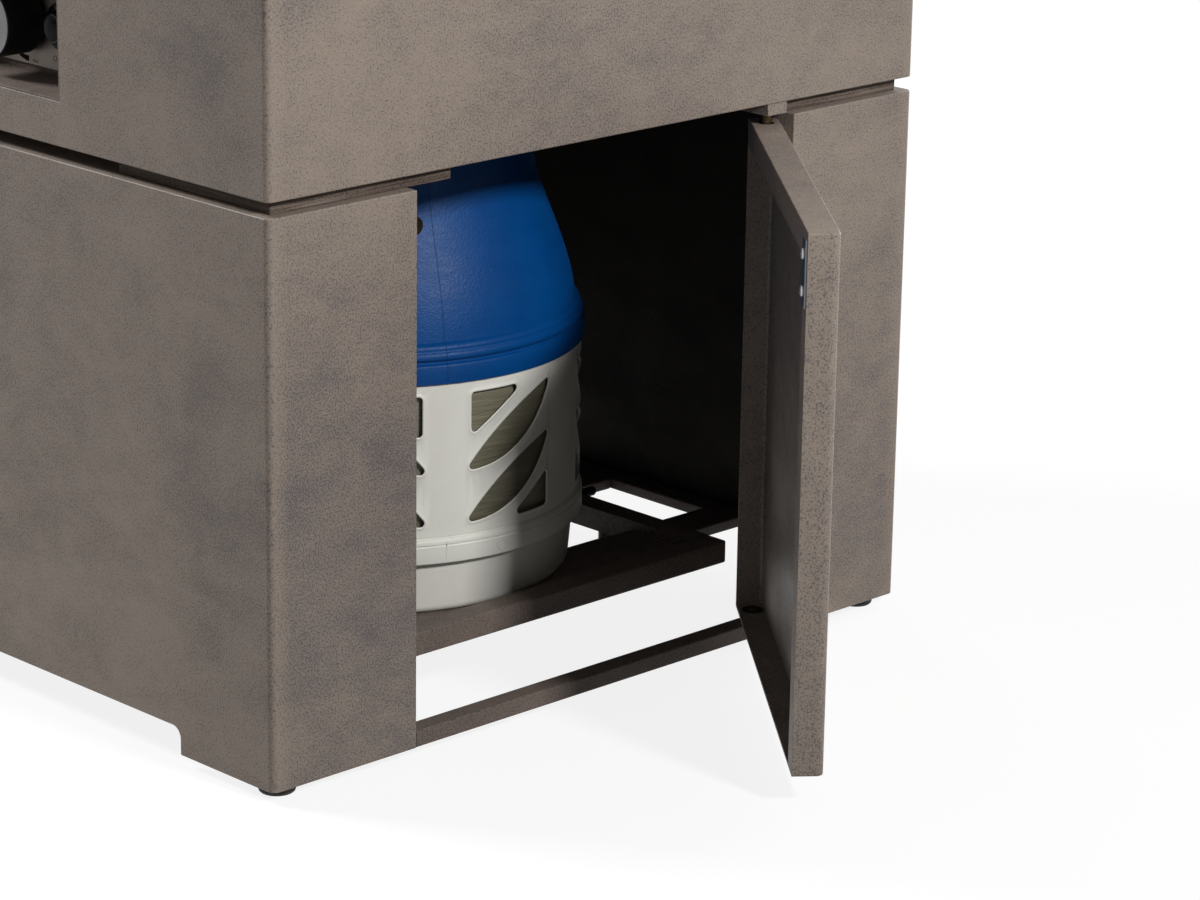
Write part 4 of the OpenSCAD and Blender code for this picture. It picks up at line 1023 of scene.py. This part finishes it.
@dataclass
class Controls:
    """Control plate with its knob, igniter and marks."""

    plate_front: float = -256.5
    axis_z: float = 467
    knob_front: float = -291.5
    knob_radius: float = 24
    knob_length: float = 30
    knob_wall: float = 18
    knob_hollow: float = 12
    igniter_y: float = -45
    bezel_radius: float = 17
    bezel_length: float = 10
    button_front: float = -271.5
    button_radius: float = 10
    button_length: float = 9.5
    screw_radius: float = 3.5
    screw_height: float = 2
    screw_spots: tuple[Point, ...] = ((-78, 443.5), (-78, 497), (78, 443.5), (78, 497))
    words: tuple[tuple[str, float, float, float], ...] = (
        ("HIGH", 2.6, -3.0, 436.5), ("OFF", 5.6, -25.7, 440.6))
    wedge_radius: float = 29
    wedge_width: float = 4
    wedge_tip: float = 0.5
    wedge_start: float = 198
    wedge_sweep: float = 70
    mark_lift: float = 0.08

    def build(self) -> None:
        """Builds and dresses the controls."""
        # The plate's steel is darkened as painted shade of the recess.
        sheet_piece("control_plate", SHADED_PLATE, 0.3)
        self.plate_screws()
        self.marks()
        self.knob()
        self.igniter()
        sheet_piece("valve_stem", ZINC, 0.3, 0, Body.KNOB)
        sheet_piece("stem_collar", ZINC, 0.4, 0, Body.COLLAR)
        sheet_piece("control_valve", BRASS, 0.5, 1.5)
        sheet_piece("piezo_igniter", BLACK, 0.6)
        sheet_piece("ignition_lead", LEAD, 0.2)

    def facing(self, y: float, z: float) -> Matrix:
        """Place on the plate for a piece that is drawn flat and faces the user."""
        flat = Matrix(((0, 0, -1, 0), (-1, 0, 0, 0), (0, 1, 0, 0), (0, 0, 0, 1)))
        return move_mm(self.plate_front, y, z) @ flat

    def plate_screws(self) -> None:
        """Sets the screws in the corners of the plate."""
        master = dome_head("plate_screw", self.screw_radius, self.screw_height, True)
        places = [self.facing(y, z) @ spin_z(0.3 * y + z) for y, z in self.screw_spots]
        piece = spread("control_plate_screw_heads", master, places)
        hand_over(piece, ZINC, Body.TABLE, "control_plate_screws", slot="stainless")

    def marks(self) -> None:
        """Prints a growing wedge and two plain words on the plate."""
        pieces = [self.wedge()]
        for word, tall, y, z in self.words:
            piece = fresh(bpy.ops.object.text_add, "plate_word")
            piece.data.body = word
            piece.data.size = tall * MM
            piece.data.extrude = self.mark_lift / 2 * MM
            take(piece)
            bpy.ops.object.convert(target="MESH")
            pieces.append(settle(bpy.context.active_object, self.facing(y, z)))
        piece = merge_pieces("control_plate_marks", pieces)
        hand_over(piece, INK, Body.TABLE, slot="black_plastic")

    def wedge(self) -> Solid:
        """Draws the wedge that grows round the knob."""
        piece = fresh(bpy.ops.mesh.primitive_grid_add, "plate_wedge", x_subdivisions=24,
                      y_subdivisions=1, size=2)
        for vert in piece.data.vertices:
            share = (vert.co.x + 1) / 2
            angle = math.radians(self.wedge_start + self.wedge_sweep * share)
            width = self.wedge_tip + (self.wedge_width - self.wedge_tip) * share
            radius = (self.wedge_radius + vert.co.y * width / 2) * MM
            vert.co = (radius * math.cos(angle), radius * math.sin(angle), 0)
        apply_modifier(piece, "SOLIDIFY", thickness=self.mark_lift * MM, offset=0)
        weld(piece)
        return settle(piece, self.facing(0, self.axis_z))

    def knob(self) -> None:
        """Turns the knob with a dished satin face and a pointer."""
        r, long, wall = self.knob_radius, self.knob_length, self.knob_wall
        floor = long - self.knob_hollow
        outline = [(0, 1.3), (6, 1.26), (12, 1.1), (17, 0.85), (r - 2.6, 0.55), (r - 1.9, 0.2),
                   (r - 1.3, 0), (r - 0.7, 0.12), (r - 0.2, 0.6), (r, 1.3), (r, 6), (r - 0.1, 14),
                   (r - 0.25, long - 1.2), (r - 0.6, long - 0.3), (r - 1.4, long), (wall, long),
                   (wall, floor), (5, floor), (0, floor)]
        front, z = self.knob_front, self.axis_z
        piece = lathe("control_knob_turned", outline, move_mm(front, 0, z) @ Axis.X.stand(), 128)
        hand_over(piece, BLACK, Body.KNOB, "control_knob")
        second_finish(piece, KNOB_FACE, lambda face: face.normal.x < -0.8
                      and face.calc_center_median().x < (front + 2) * MM)
        pointer = slab("control_knob_pointer", (front + 0.15, -0.8, z + r - 9),
                       (front + 1.6, 0.8, z + r - 3))
        ease_edges(pointer, 0.3 * MM)
        hand_over(pointer, CERAMIC, Body.KNOB, slot="white_ceramic")

    def igniter(self) -> None:
        """Turns the igniter's bezel and its button."""
        r, long, hole = self.bezel_radius, self.bezel_length, self.button_radius + 0.3
        outline = [(hole, 0.5), (hole + 0.5, 0), (hole + 1.2, 0), (hole + 1.8, 0.6),
                   (r - 2.4, 1.2), (r - 1.2, 1.8), (r - 0.4, 2.8), (r, 4.2), (r, long),
                   (hole, long), (hole, 0.5)]
        place = move_mm(self.plate_front - long, self.igniter_y, self.axis_z) @ Axis.X.stand()
        piece = lathe("igniter_bezel_turned", outline, place, 96)
        hand_over(piece, GLOSS_BLACK, Body.TABLE, "igniter_bezel")
        r, long = self.button_radius, self.button_length
        outline = [(0, 0.9), (4, 0.8), (7, 0.45), (r - 1.6, 0.1), (r - 0.9, 0), (r - 0.3, 0.25),
                   (r, 0.9), (r, long), (5, long), (5, long + 19), (4.4, long + 19.6),
                   (0, long + 19.6)]
        place = move_mm(self.button_front, self.igniter_y, self.axis_z) @ Axis.X.stand()
        piece = lathe("igniter_button_turned", outline, place, 96)
        hand_over(piece, GLOSS_BLACK, Body.IGNITER, "igniter_button")


@dataclass
class Burner:
    """Tray with the ring burner, its feed, probes, grate and bed of lava rocks."""

    ring_radius: float = 100
    tube_radius: float = 9
    ring_z: float = 542.5
    ports: int = 40
    port_radius: float = 1.3
    port_sink: float = 0.3
    rock_seed: int = 11
    rock_wide: Point = (1.15, 1.4)
    rock_tall: Point = (0.9, 1.2)
    rock_shift: float = 3.5

    def build(self) -> None:
        """Builds and dresses the burner."""
        sheet_piece("burner_tray", STAINLESS)
        self.ring()
        for node, finish, edge in (
                ("burner_grate", SCORCHED, 0.3), ("burner_nut", STAINLESS, 0.6),
                ("burner_mixer", BRASS, 0.6), ("gas_feed_pipe", COPPER, 0.3),
                ("spark_electrode", CERAMIC, 0.3), ("thermocouple", COPPER, 0.3)):
            sheet_piece(node, finish, edge)
        self.rocks()

    def ring(self) -> None:
        """Dresses the ring burner and drills its flame ports."""
        piece = node_copy("burner_ring", "burner_ring_dressed")
        even_shading(piece, 35)
        hand_over(piece, SCORCHED, Body.TABLE, "burner_ring")
        bore = self.port_radius
        outline = [(0, 0), (bore + 0.5, 0), (bore + 0.5, 0.5), (bore, 0.7), (bore, 0.2), (0, 0.2)]
        top = self.tube_radius - self.port_sink
        places = [move_mm(0, 0, self.ring_z) @ spin_z(math.tau * step / self.ports)
                  @ move_mm(self.ring_radius, 0, top) for step in range(self.ports)]
        ports = spread("burner_ring_ports", lathe("port", outline, steps=12), places)
        hand_over(ports, SCORCHED, Body.TABLE, slot="stainless")

    def loosen(self, piece: Solid) -> None:
        """Swells and turns each rock about its foot, and moves it a little off the grid."""
        draw = random.Random(self.rock_seed)
        mesh = bmesh.new()
        mesh.from_mesh(piece.data)
        left = dict.fromkeys(mesh.verts)
        while left:
            rock = [next(iter(left))]
            del left[rock[0]]
            for vert in rock:
                for other in (edge.other_vert(vert) for edge in vert.link_edges):
                    if other in left:
                        del left[other]
                        rock.append(other)
            foot = Vector((sum(vert.co.x for vert in rock) / len(rock),
                           sum(vert.co.y for vert in rock) / len(rock),
                           min(vert.co.z for vert in rock)))
            sizes = [draw.uniform(*limits)
                     for limits in (self.rock_wide, self.rock_wide, self.rock_tall)]
            shift = Vector((draw.uniform(-1, 1), draw.uniform(-1, 1), 0)) * self.rock_shift * MM
            place = (Matrix.Translation(foot + shift) @ spin_z(draw.uniform(0, math.tau))
                     @ Matrix.Diagonal((*sizes, 1)) @ Matrix.Translation(-foot))
            for vert in rock:
                vert.co = place @ vert.co
        mesh.to_mesh(piece.data)
        mesh.free()

    def rocks(self) -> None:
        """Swells the rough rocks into porous stones."""
        piece = node_copy("lava_rocks", "lava_rocks_porous")
        self.loosen(piece)
        apply_modifier(piece, "SUBSURF", levels=1, render_levels=1, subdivision_type="SIMPLE")
        apply_modifier(piece, "SUBSURF", levels=2, render_levels=2)
        lumps = bpy.data.textures.new("rock_lumps", "CLOUDS")
        lumps.noise_scale = 0.020
        lumps.noise_depth = 3
        pores = bpy.data.textures.new("rock_pores", "VORONOI")
        pores.noise_scale = 0.0048
        for texture, strength, middle in ((lumps, 0.010, 0.42), (pores, 0.0022, 0.7)):
            apply_modifier(piece, "DISPLACE", texture=texture, strength=strength,
                           mid_level=middle, texture_coords="LOCAL")
        smooth(piece, 60)
        hand_over(piece, STONE, Body.TABLE, "lava_rocks")


@dataclass
class GasCylinder:
    """Two-piece gas cylinder: foot, slotted casing, wound vessel, shroud, valve and handwheel."""

    axis: Point = (-25, -81)
    base_z: float = 58
    foot_radius: float = 146
    foot_round: float = 6
    foot_bore: float = 141
    ring_radius: float = 152.5
    casing_radius: float = 150
    wall: float = 4
    skin: float = 1.8
    casing_low: float = 58
    casing_high: float = 167
    band_high: float = 181
    waist: float = 195
    shoulder_high: float = 310
    waist_radius: float = 146
    shoulder_step: float = 33
    mouth_radius: float = 105
    top: float = 393
    hole_low: Spot = (80, -44, 333.5)
    hole_high: Spot = (140, 44, 369.5)
    hole_round: float = 12
    mould_angle: float = -110.6
    seam_back: float = 0.15
    seam_sweep: float = 0.005
    pairs: int = 4
    slot_angle: float = 20.5
    leaf_run: float = 80
    leaf_rise: float = 54
    bulge_up: float = 8.5
    bulge_down: float = 15
    leaf_low: float = 92.5
    leaf_pitch: float = 37.5
    rim: tuple[Point, ...] = (
        (0.5, 0.25), (0.5, 0.22), (0.4, 0.1), (0.3, 0), (0.4, -0.12), (0.3, -0.35))
    slot_round: float = 2.8
    strips: int = 20
    vessel_radius: float = 140
    vessel_round: float = 30
    belly: float = 146.5
    dome_low: float = 180
    dome_height: float = 120
    dome_angle: float = 84
    neck_radius: float = 22
    neck_top: float = 318
    steps: int = 160

    def stand(self, turn: float = 0) -> Matrix:
        """Place of the cylinder's axis at its base."""
        return move_mm(*self.axis, self.base_z) @ spin_z(math.radians(turn))

    def build(self) -> None:
        """Builds and dresses the gas cylinder."""
        self.foot()
        self.casing()
        self.vessel()
        self.shroud()
        self.collar()
        self.mould_lines()
        sheet_piece("cylinder_valve", BRASS, 0.8)
        sheet_piece("valve_handwheel", BLACK, 1.6, 0, Body.HANDWHEEL)

    def foot(self) -> None:
        """Turns the cup with its ring band."""
        ring, case, bend = self.ring_radius, self.casing_radius, self.foot_round
        r, bore, top = self.foot_radius, self.foot_bore, self.casing_low
        outline = [(0, 0), (r - 10, 0), (r - 9, 0)]
        outline += [(r - 9 + bend * math.sin(a), bend * (1 - math.cos(a)))
                    for a in (step / 8 * math.pi / 2 for step in range(1, 9))]
        outline += [(r - 0.4, 35), (r, 36.9), (r + 0.8, 38), (ring - 1.2, 38.7), (ring - 0.3, 39.3),
                    (ring, 40.3), (ring, 51), (ring - 0.8, 51.6), (ring - 0.8, 52.2), (ring, 52.8),
                    (ring, 54.6), (ring - 0.3, 55.5), (ring - 1.0, 56.1), (case + 0.3, 56.5),
                    (case - 0.5, 56.8), (case - 0.5, 57.4), (case, top), (bore, top), (bore, 16),
                    (bore - 12, self.wall), (0, self.wall)]
        piece = lathe("cylinder_foot_turned", outline, self.stand(), self.steps)
        hand_over(piece, WHITE, Body.TABLE, "cylinder_foot")

    def leaf_core(self) -> list[Point]:
        """Outline of one leaf about its middle, drawn in by the rounding of its tips."""
        chord = math.hypot(self.leaf_run, self.leaf_rise)
        up, down = ((chord * chord / 4 + bulge * bulge) / (2 * bulge)
                    for bulge in (self.bulge_up, self.bulge_down))
        low, high = self.bulge_up - up, down - self.bulge_down
        up, down = up - self.slot_round, down - self.slot_round
        tip_y = (up * up - down * down + high * high - low * low) / (2 * (high - low))
        tip_x = math.sqrt(up * up - (tip_y - low) ** 2)
        reach = math.asin(tip_x / down)
        points = [(down * math.sin(angle), high - down * math.cos(angle))
                  for angle in (reach * step / 8 for step in range(-8, 8))]
        reach = math.asin(tip_x / up)
        points += [(up * math.sin(angle), low + up * math.cos(angle))
                   for angle in (reach * step / 8 for step in range(8, -8, -1))]
        turn = Matrix.Rotation(math.atan2(self.leaf_rise, self.leaf_run), 2)
        return [tuple(turn @ Vector(point)) for point in points]

    def drawn_in(self, corners: Outline) -> list[Point]:
        """Corners of a triangle, drawn in by the rounding of a slot."""
        a, b, c = (Vector(corner) for corner in corners)
        sides = ((b - c).length, (c - a).length, (a - b).length)
        middle = (a * sides[0] + b * sides[1] + c * sides[2]) / sum(sides)
        inner = abs((b - a).cross(c - a)) / sum(sides)
        share = 1 - self.slot_round / inner
        return [tuple(middle + (corner - middle) * share) for corner in (a, b, c)]

    def slot_outlines(self) -> list[list[Point]]:
        """Outer outlines of the rims of one slot group, about the group's middle."""
        half, tall = self.leaf_run / 2, self.leaf_rise / 2
        cores = [[(x, y + z) for x, y in self.leaf_core()]
                 for z in (self.leaf_low, self.leaf_low + self.leaf_pitch)]
        high = self.leaf_low + self.leaf_pitch + tall + 1.5
        low = self.leaf_low - tall - 1.8
        left, right = 4.3 - half, half - 3
        cores.append(self.drawn_in([(left, high), (left, high - tall - 4), (9, high)]))
        cores.append(self.drawn_in([(half - 41.6, low), (right, low), (right, low + tall)]))
        gap = self.slot_round + sum(wide for wide, _ in self.rim)
        return [self.grown(core, gap) for core in cores]

    def grown(self, corners: Outline, gap: float) -> list[Point]:
        """Rounded outline round a shape without hollows.

        Args:
            corners: corners of the shape, anticlockwise.
            gap: distance that the outline keeps from it.

        Returns:
            Points of the outline.
        """
        points = []
        count = len(corners)
        for number, corner in enumerate(corners):
            before, after = corners[number - 1], corners[(number + 1) % count]
            first = math.atan2(corner[1] - before[1], corner[0] - before[0]) - QUARTER
            last = math.atan2(after[1] - corner[1], after[0] - corner[0]) - QUARTER
            while last < first:
                last += math.tau
            steps = max(1, round((last - first) / 0.2))
            for step in range(steps + 1) if steps > 1 else (0.5,):
                angle = first + (last - first) * step / steps
                points.append((corner[0] + gap * math.cos(angle),
                               corner[1] + gap * math.sin(angle)))
        return points

    def slot(self, outline: Outline, shift: float) -> Solid:
        """Raises a rim from an outline and opens the slot inside it.

        Args:
            outline: outer outline of the rim.
            shift: where the group's middle lies along the casing.

        Returns:
            The open rim, flat on the casing's skin.
        """
        piece = fresh(bpy.ops.mesh.primitive_circle_add, "slot_rim", vertices=len(outline),
                      radius=MM, fill_type="NGON")
        for vert, (x, z) in zip(piece.data.vertices, outline):
            vert.co = ((x + shift) * MM, z * MM, 0)
        with editing(piece):
            bpy.ops.mesh.select_all(action="SELECT")
            bpy.ops.mesh.normals_make_consistent(inside=False)
            if bmesh.from_edit_mesh(piece.data).faces[:][0].normal.z < 0:
                bpy.ops.mesh.flip_normals()
            for thick, deep in self.rim:
                bpy.ops.mesh.inset(thickness=thick * MM, depth=deep * MM)
            bpy.ops.mesh.delete(type="FACE")
        return piece

    def flat_sector(self, sector: float) -> Solid:
        """Builds half a slot group of the casing flat, in strips that can be rolled.

        Args:
            sector: its length along the casing, in millimetres.

        Returns:
            The flat skin with its slots.
        """
        middle = math.radians(self.slot_angle) * self.casing_radius
        pieces = [self.slot(outline, middle) for outline in self.slot_outlines()]
        plate = fresh(bpy.ops.mesh.primitive_plane_add, "casing_sector", size=1)
        low, high = self.casing_low, self.casing_high
        for vert in plate.data.vertices:
            vert.co = ((vert.co.x + 0.5) * sector * MM,
                       (low + (vert.co.y + 0.5) * (high - low)) * MM, 0)
        with editing(plate):
            bpy.ops.mesh.select_all(action="SELECT")
            bpy.ops.mesh.delete(type="ONLY_FACE")
        plate = merge_pieces("cylinder_casing_rolled", [plate] + pieces)
        with editing(plate):
            pick(plate, Kind.EDGES, lambda edge: len(edge.link_faces) < 2
                 and all(abs(vert.co.z) < WELD for vert in edge.verts))
            bpy.ops.mesh.fill(use_beauty=True)
            bpy.ops.mesh.select_all(action="SELECT")
            bpy.ops.mesh.normals_make_consistent(inside=False)
            for step in range(1, self.strips):
                bpy.ops.mesh.select_all(action="SELECT")
                bpy.ops.mesh.bisect(plane_co=(sector * step / self.strips * MM, 0, 0),
                                    plane_no=(1, 0, 0))
        return plate

    def casing(self) -> None:
        """Mirrors, repeats and rolls the flat sector into the slotted casing."""
        sector = 2 * math.pi * self.casing_radius / self.pairs / 2
        plate = self.flat_sector(sector)
        apply_modifier(plate, "MIRROR", use_axis=(True, False, False), merge_threshold=WELD)
        apply_modifier(plate, "ARRAY", count=self.pairs, use_relative_offset=False,
                       use_constant_offset=True,
                       constant_offset_displace=(2 * sector * MM, 0, 0),
                       use_merge_vertices=True, merge_threshold=WELD)
        for vert in plate.data.vertices:
            angle = vert.co.x / (self.casing_radius * MM)
            radius = self.casing_radius * MM + vert.co.z
            vert.co = (radius * math.cos(angle), radius * math.sin(angle), vert.co.y)
        weld(plate)
        apply_modifier(plate, "SOLIDIFY", thickness=self.skin * MM, offset=-1)
        settle(plate, self.stand(self.mould_angle))
        smooth(plate)
        hand_over(plate, WHITE, Body.TABLE, "cylinder_casing")

    def vessel(self) -> None:
        """Turns the wound vessel with its domed top and neck."""
        r, neck, bend, low = self.vessel_radius, self.neck_radius, self.vessel_round, self.wall
        belly, dome, top = self.belly, self.dome_low, self.neck_top
        outline = [(0, low)]
        outline += [(r - bend + bend * math.sin(a), low + bend * (1 - math.cos(a)))
                    for a in (step / 10 * math.pi / 2 for step in range(11))]
        outline += [(r, 48), (belly, 59), (belly, 110), (belly, 165), (r, dome)]
        outline += [(neck + (r - neck) * math.cos(a), dome + self.dome_height * math.sin(a))
                    for a in (step / 20 * math.radians(self.dome_angle) for step in range(1, 21))]
        outline += [(neck, top - 16), (neck, top - 1), (neck - 1, top), (11, top), (0, top)]
        piece = lathe("cylinder_vessel_wound", outline, self.stand(), self.steps)
        hand_over(piece, FIBRE, Body.TABLE, "cylinder_vessel")

    def shoulder(self, share: float) -> Point:
        """Radius and height at a share of the way up the shoulder."""
        drop = 0.4 * share + 0.3 * (1 - math.cos(math.pi * share))
        return (self.waist_radius - self.shoulder_step * drop,
                self.waist + (self.shoulder_high - self.waist) * share)

    def shroud_skin(self) -> list[Point]:
        """Outer outline of the shroud from its rim to the collar."""
        low, band, ring = self.casing_high, self.band_high, self.ring_radius
        skin = [(ring - 0.8, low), (ring - 0.2, low + 0.3), (ring, low + 1.0), (ring, band - 1.6)]
        skin += [(ring - inset, band + rise) for inset, rise in (
            (0.25, -0.8), (0.9, -0.2), (2.0, 0.1), (2.7, 0.8), (2.8, 1.6), (2.3, 2.3), (1.4, 2.8),
            (0.9, 3.7), (0.8, 5.0), (1.1, 6.4), (1.8, 7.6), (2.6, 8.2), (2.9, 8.8), (2.8, 9.5),
            (2.9, 10.6), (3.5, 11.8), (4.6, 12.8), (5.7, 13.4))]
        return skin + [self.shoulder(step / 24) for step in range(25)]

    def shroud(self) -> None:
        """Turns the shoulder with its rim band and beads."""
        skin = self.shroud_skin()
        seat = self.casing_radius - self.wall
        inside = [(r - self.wall, h) for r, h in reversed(skin) if h >= self.waist]
        seating = [(seat - 3, self.waist - 2), (seat, self.band_high), (seat, self.casing_high)]
        outline = skin + inside + seating + skin[:1]
        piece = lathe("cylinder_shroud_turned", outline, self.stand(), self.steps)
        hand_over(piece, BLUE, Body.TABLE, "cylinder_shroud")

    def collar(self) -> None:
        """Turns the collar and cuts its two hand holes."""
        foot, low = self.shoulder(1)
        mouth, top, wall = self.mouth_radius, self.top, self.wall
        outline = [(foot, low), (mouth, top - 1.5), (mouth - 0.5, top - 0.4), (mouth - 1.4, top),
                   (mouth - wall + 1.2, top), (mouth - wall + 0.3, top - 0.4),
                   (mouth - wall, top - 1.4), (foot - wall, low), (foot, low)]
        piece = lathe("cylinder_collar_turned", outline, steps=self.steps)
        for side in (0, math.pi):
            hole = slab("hand_hole", self.hole_low, self.hole_high)
            with editing(hole):
                pick(hole, Kind.EDGES,
                     lambda edge: abs((edge.verts[0].co - edge.verts[1].co).x) > 0.01)
                bpy.ops.mesh.bevel(offset=self.hole_round * MM, segments=8, affect="EDGES")
            settle(hole, spin_z(side))
            cut(piece, hole)
        ease_edges(piece, 0.8 * MM, 50)
        settle(piece, self.stand(self.mould_angle + 90))
        hand_over(piece, BLUE, Body.TABLE, "cylinder_collar")

    def mould_lines(self) -> None:
        """Draws the fine seams and the plain mark that the moulds leave on shroud and foot."""
        seam = [(r + 0.12, h) for r, h in self.shroud_skin()[2:]]
        seam += [(r - 0.6, h) for r, h in reversed(seam)] + seam[:1]
        ring = self.ring_radius
        foot_seam = [(ring - 1, 39.3), (ring + 0.25, 40.3), (ring + 0.25, 54.6),
                     (ring - 1, 55.5), (ring - 1, 39.3)]
        place = self.stand(self.mould_angle - self.seam_back)
        for name, outline, finish, slot in (
                ("cylinder_shroud_seam", seam, BLUE_SEAM, "blue_plastic"),
                ("cylinder_foot_seam", foot_seam, WHITE, "white_plastic")):
            line = lathe(name, outline, place, 1, self.seam_sweep)
            hand_over(line, finish, Body.TABLE, slot=slot)
        outline = [(3.4, -0.4), (4.4, -0.4), (4.2, 0.3), (3.6, 0.3), (3.4, -0.4)]
        place = self.stand(self.mould_angle + 16) @ move_mm(ring, 0, 46) @ Axis.X.stand()
        mark = lathe("cylinder_foot_mark", outline, place, 6)
        smooth(mark, 30)
        hand_over(mark, WHITE, Body.TABLE, slot="white_plastic")


@dataclass
class Studio:
    """Pale floor, soft light and the camera."""

    floor_reach: float = 9.0
    floor_glow: float = 0.86
    floor_dim: float = 0.2
    floor_pale: float = 0.9
    eye: Spot = (-1.8575, -2.1755, 0.9861)
    yaw: float = 44.586
    pitch: float = 16.988
    roll: float = 0.897
    lens: float = 121.32
    sensor: float = 36
    sight: float = 50
    ambient: float = 0.06
    target: Spot = (0.0, -0.1, 0.3)
    lamps: tuple[tuple[str, float, float, float, float, float], ...] = (
        ("key_light", -4, 29, 2.2, 37.5, 0.22), ("left_light", -150, 38, 4.0, 174, 1.0),
        ("right_light", 90, 15, 4.0, 105, 2.0), ("back_light", 150, 22, 4.0, 45, 1.6))

    def build(self) -> None:
        """Sets the floor, the light and the camera."""
        self.floor()
        self.world()
        for lamp in self.lamps:
            self.lamp(*lamp)
        self.camera()
        bpy.context.scene.view_settings.view_transform = "Standard"

    def seen_white(self, tree: bpy.types.NodeTree) -> Socket:
        """Share of the rays that look straight, by reflection or through glass at a surface."""
        path = tree.nodes.new("ShaderNodeLightPath")
        share = path.outputs["Is Camera Ray"]
        for name in ("Is Glossy Ray", "Is Transmission Ray"):
            largest = tree.nodes.new("ShaderNodeMath")
            largest.operation = "MAXIMUM"
            tree.links.new(share, largest.inputs[0])
            tree.links.new(path.outputs[name], largest.inputs[1])
            share = largest.outputs[0]
        return share

    def floor(self) -> None:
        """Lays the pale floor, which keeps a light shadow."""
        floor = fresh(bpy.ops.mesh.primitive_circle_add, "studio_floor", vertices=96,
                      radius=self.floor_reach, fill_type="NGON")
        sheet = NodeSheet("studio_floor")
        seen = self.seen_white(sheet.tree)
        dim, pale = ((tone, tone, tone, 1) for tone in (self.floor_dim, self.floor_pale))
        tone = sheet.blend(seen, dim, pale)
        sheet.shade({"Base Color": tone, "Roughness": 1.0, "Specular IOR Level": 0.0})
        glow = sheet.put("ShaderNodeEmission", {"Color": (1, 1, 1, 1), "Strength": 1.0})
        share = sheet.math("MULTIPLY", seen, self.floor_glow)
        mixed = sheet.put("ShaderNodeMixShader", {
            0: share, 1: sheet.shader.outputs[0], 2: glow.outputs[0]})
        sheet.feed(sheet.tree.nodes["Material Output"].inputs["Surface"], mixed.outputs[0])
        floor.data.materials.append(sheet.material)

    def world(self) -> None:
        """Sets a white background over a soft even light."""
        world = bpy.data.worlds.new("studio")
        bpy.context.scene.world = world
        world.use_nodes = True
        tree = world.node_tree
        soft, white = tree.nodes["Background"], tree.nodes.new("ShaderNodeBackground")
        for light, strength in ((soft, self.ambient), (white, 1.0)):
            light.inputs["Color"].default_value = (1, 1, 1, 1)
            light.inputs["Strength"].default_value = strength
        mixed = tree.nodes.new("ShaderNodeMixShader")
        for number, socket in enumerate((self.seen_white(tree), soft.outputs[0],
                                         white.outputs[0])):
            tree.links.new(socket, mixed.inputs[number])
        tree.links.new(mixed.outputs[0], tree.nodes["World Output"].inputs["Surface"])

    def way(self, bearing: float, fall: float) -> Vector:
        """Direction that leaves the front towards a bearing and falls, in degrees."""
        turn, drop = math.radians(bearing), math.radians(fall)
        return Vector((math.sin(turn) * math.cos(drop), math.cos(turn) * math.cos(drop),
                       -math.sin(drop)))

    def lamp(self, name: str, bearing: float, height: float, reach: float, power: float,
             size: float) -> None:
        """Hangs a soft square lamp that looks at the table.

        Args:
            name: name of the lamp.
            bearing: where it hangs, in degrees from the front towards the right.
            height: its height over the table, in degrees.
            reach: its distance from the table in metres.
            power: its power in watts.
            size: its side in metres.
        """
        way = self.way(-bearing, height)
        lamp = fresh(bpy.ops.object.light_add, name, type="AREA",
                     location=Vector(self.target) - way * reach)
        lamp.data.energy = power
        lamp.data.size = size
        lamp.rotation_euler = way.to_track_quat("-Z", "Y").to_euler()
        lamp.visible_camera = False

    def camera(self) -> None:
        """Sets the camera where the photograph was taken from."""
        turn = self.way(self.yaw, self.pitch).to_track_quat("-Z", "Y").to_matrix().to_4x4()
        camera = fresh(bpy.ops.object.camera_add, "Camera")
        camera.matrix_world = (Matrix.Translation(self.eye) @ turn
                               @ spin_z(math.radians(self.roll)))
        camera.data.lens = self.lens
        camera.data.sensor_width = self.sensor
        camera.data.clip_end = self.sight
        bpy.context.scene.camera = camera


def main() -> None:
    """Builds the table and its studio in order."""
    logging.basicConfig(level=logging.INFO, format="%(name)s %(message)s")
    for assembly in (Studio(), Cabinet(), CylinderShelf(), DoorLeaf(), Housing(), Controls(),
                     Burner(), GasCylinder()):
        assembly.build()
        LOG.info("%s done", type(assembly).__name__)
    deselect()


if __name__ == "__main__":
    main()
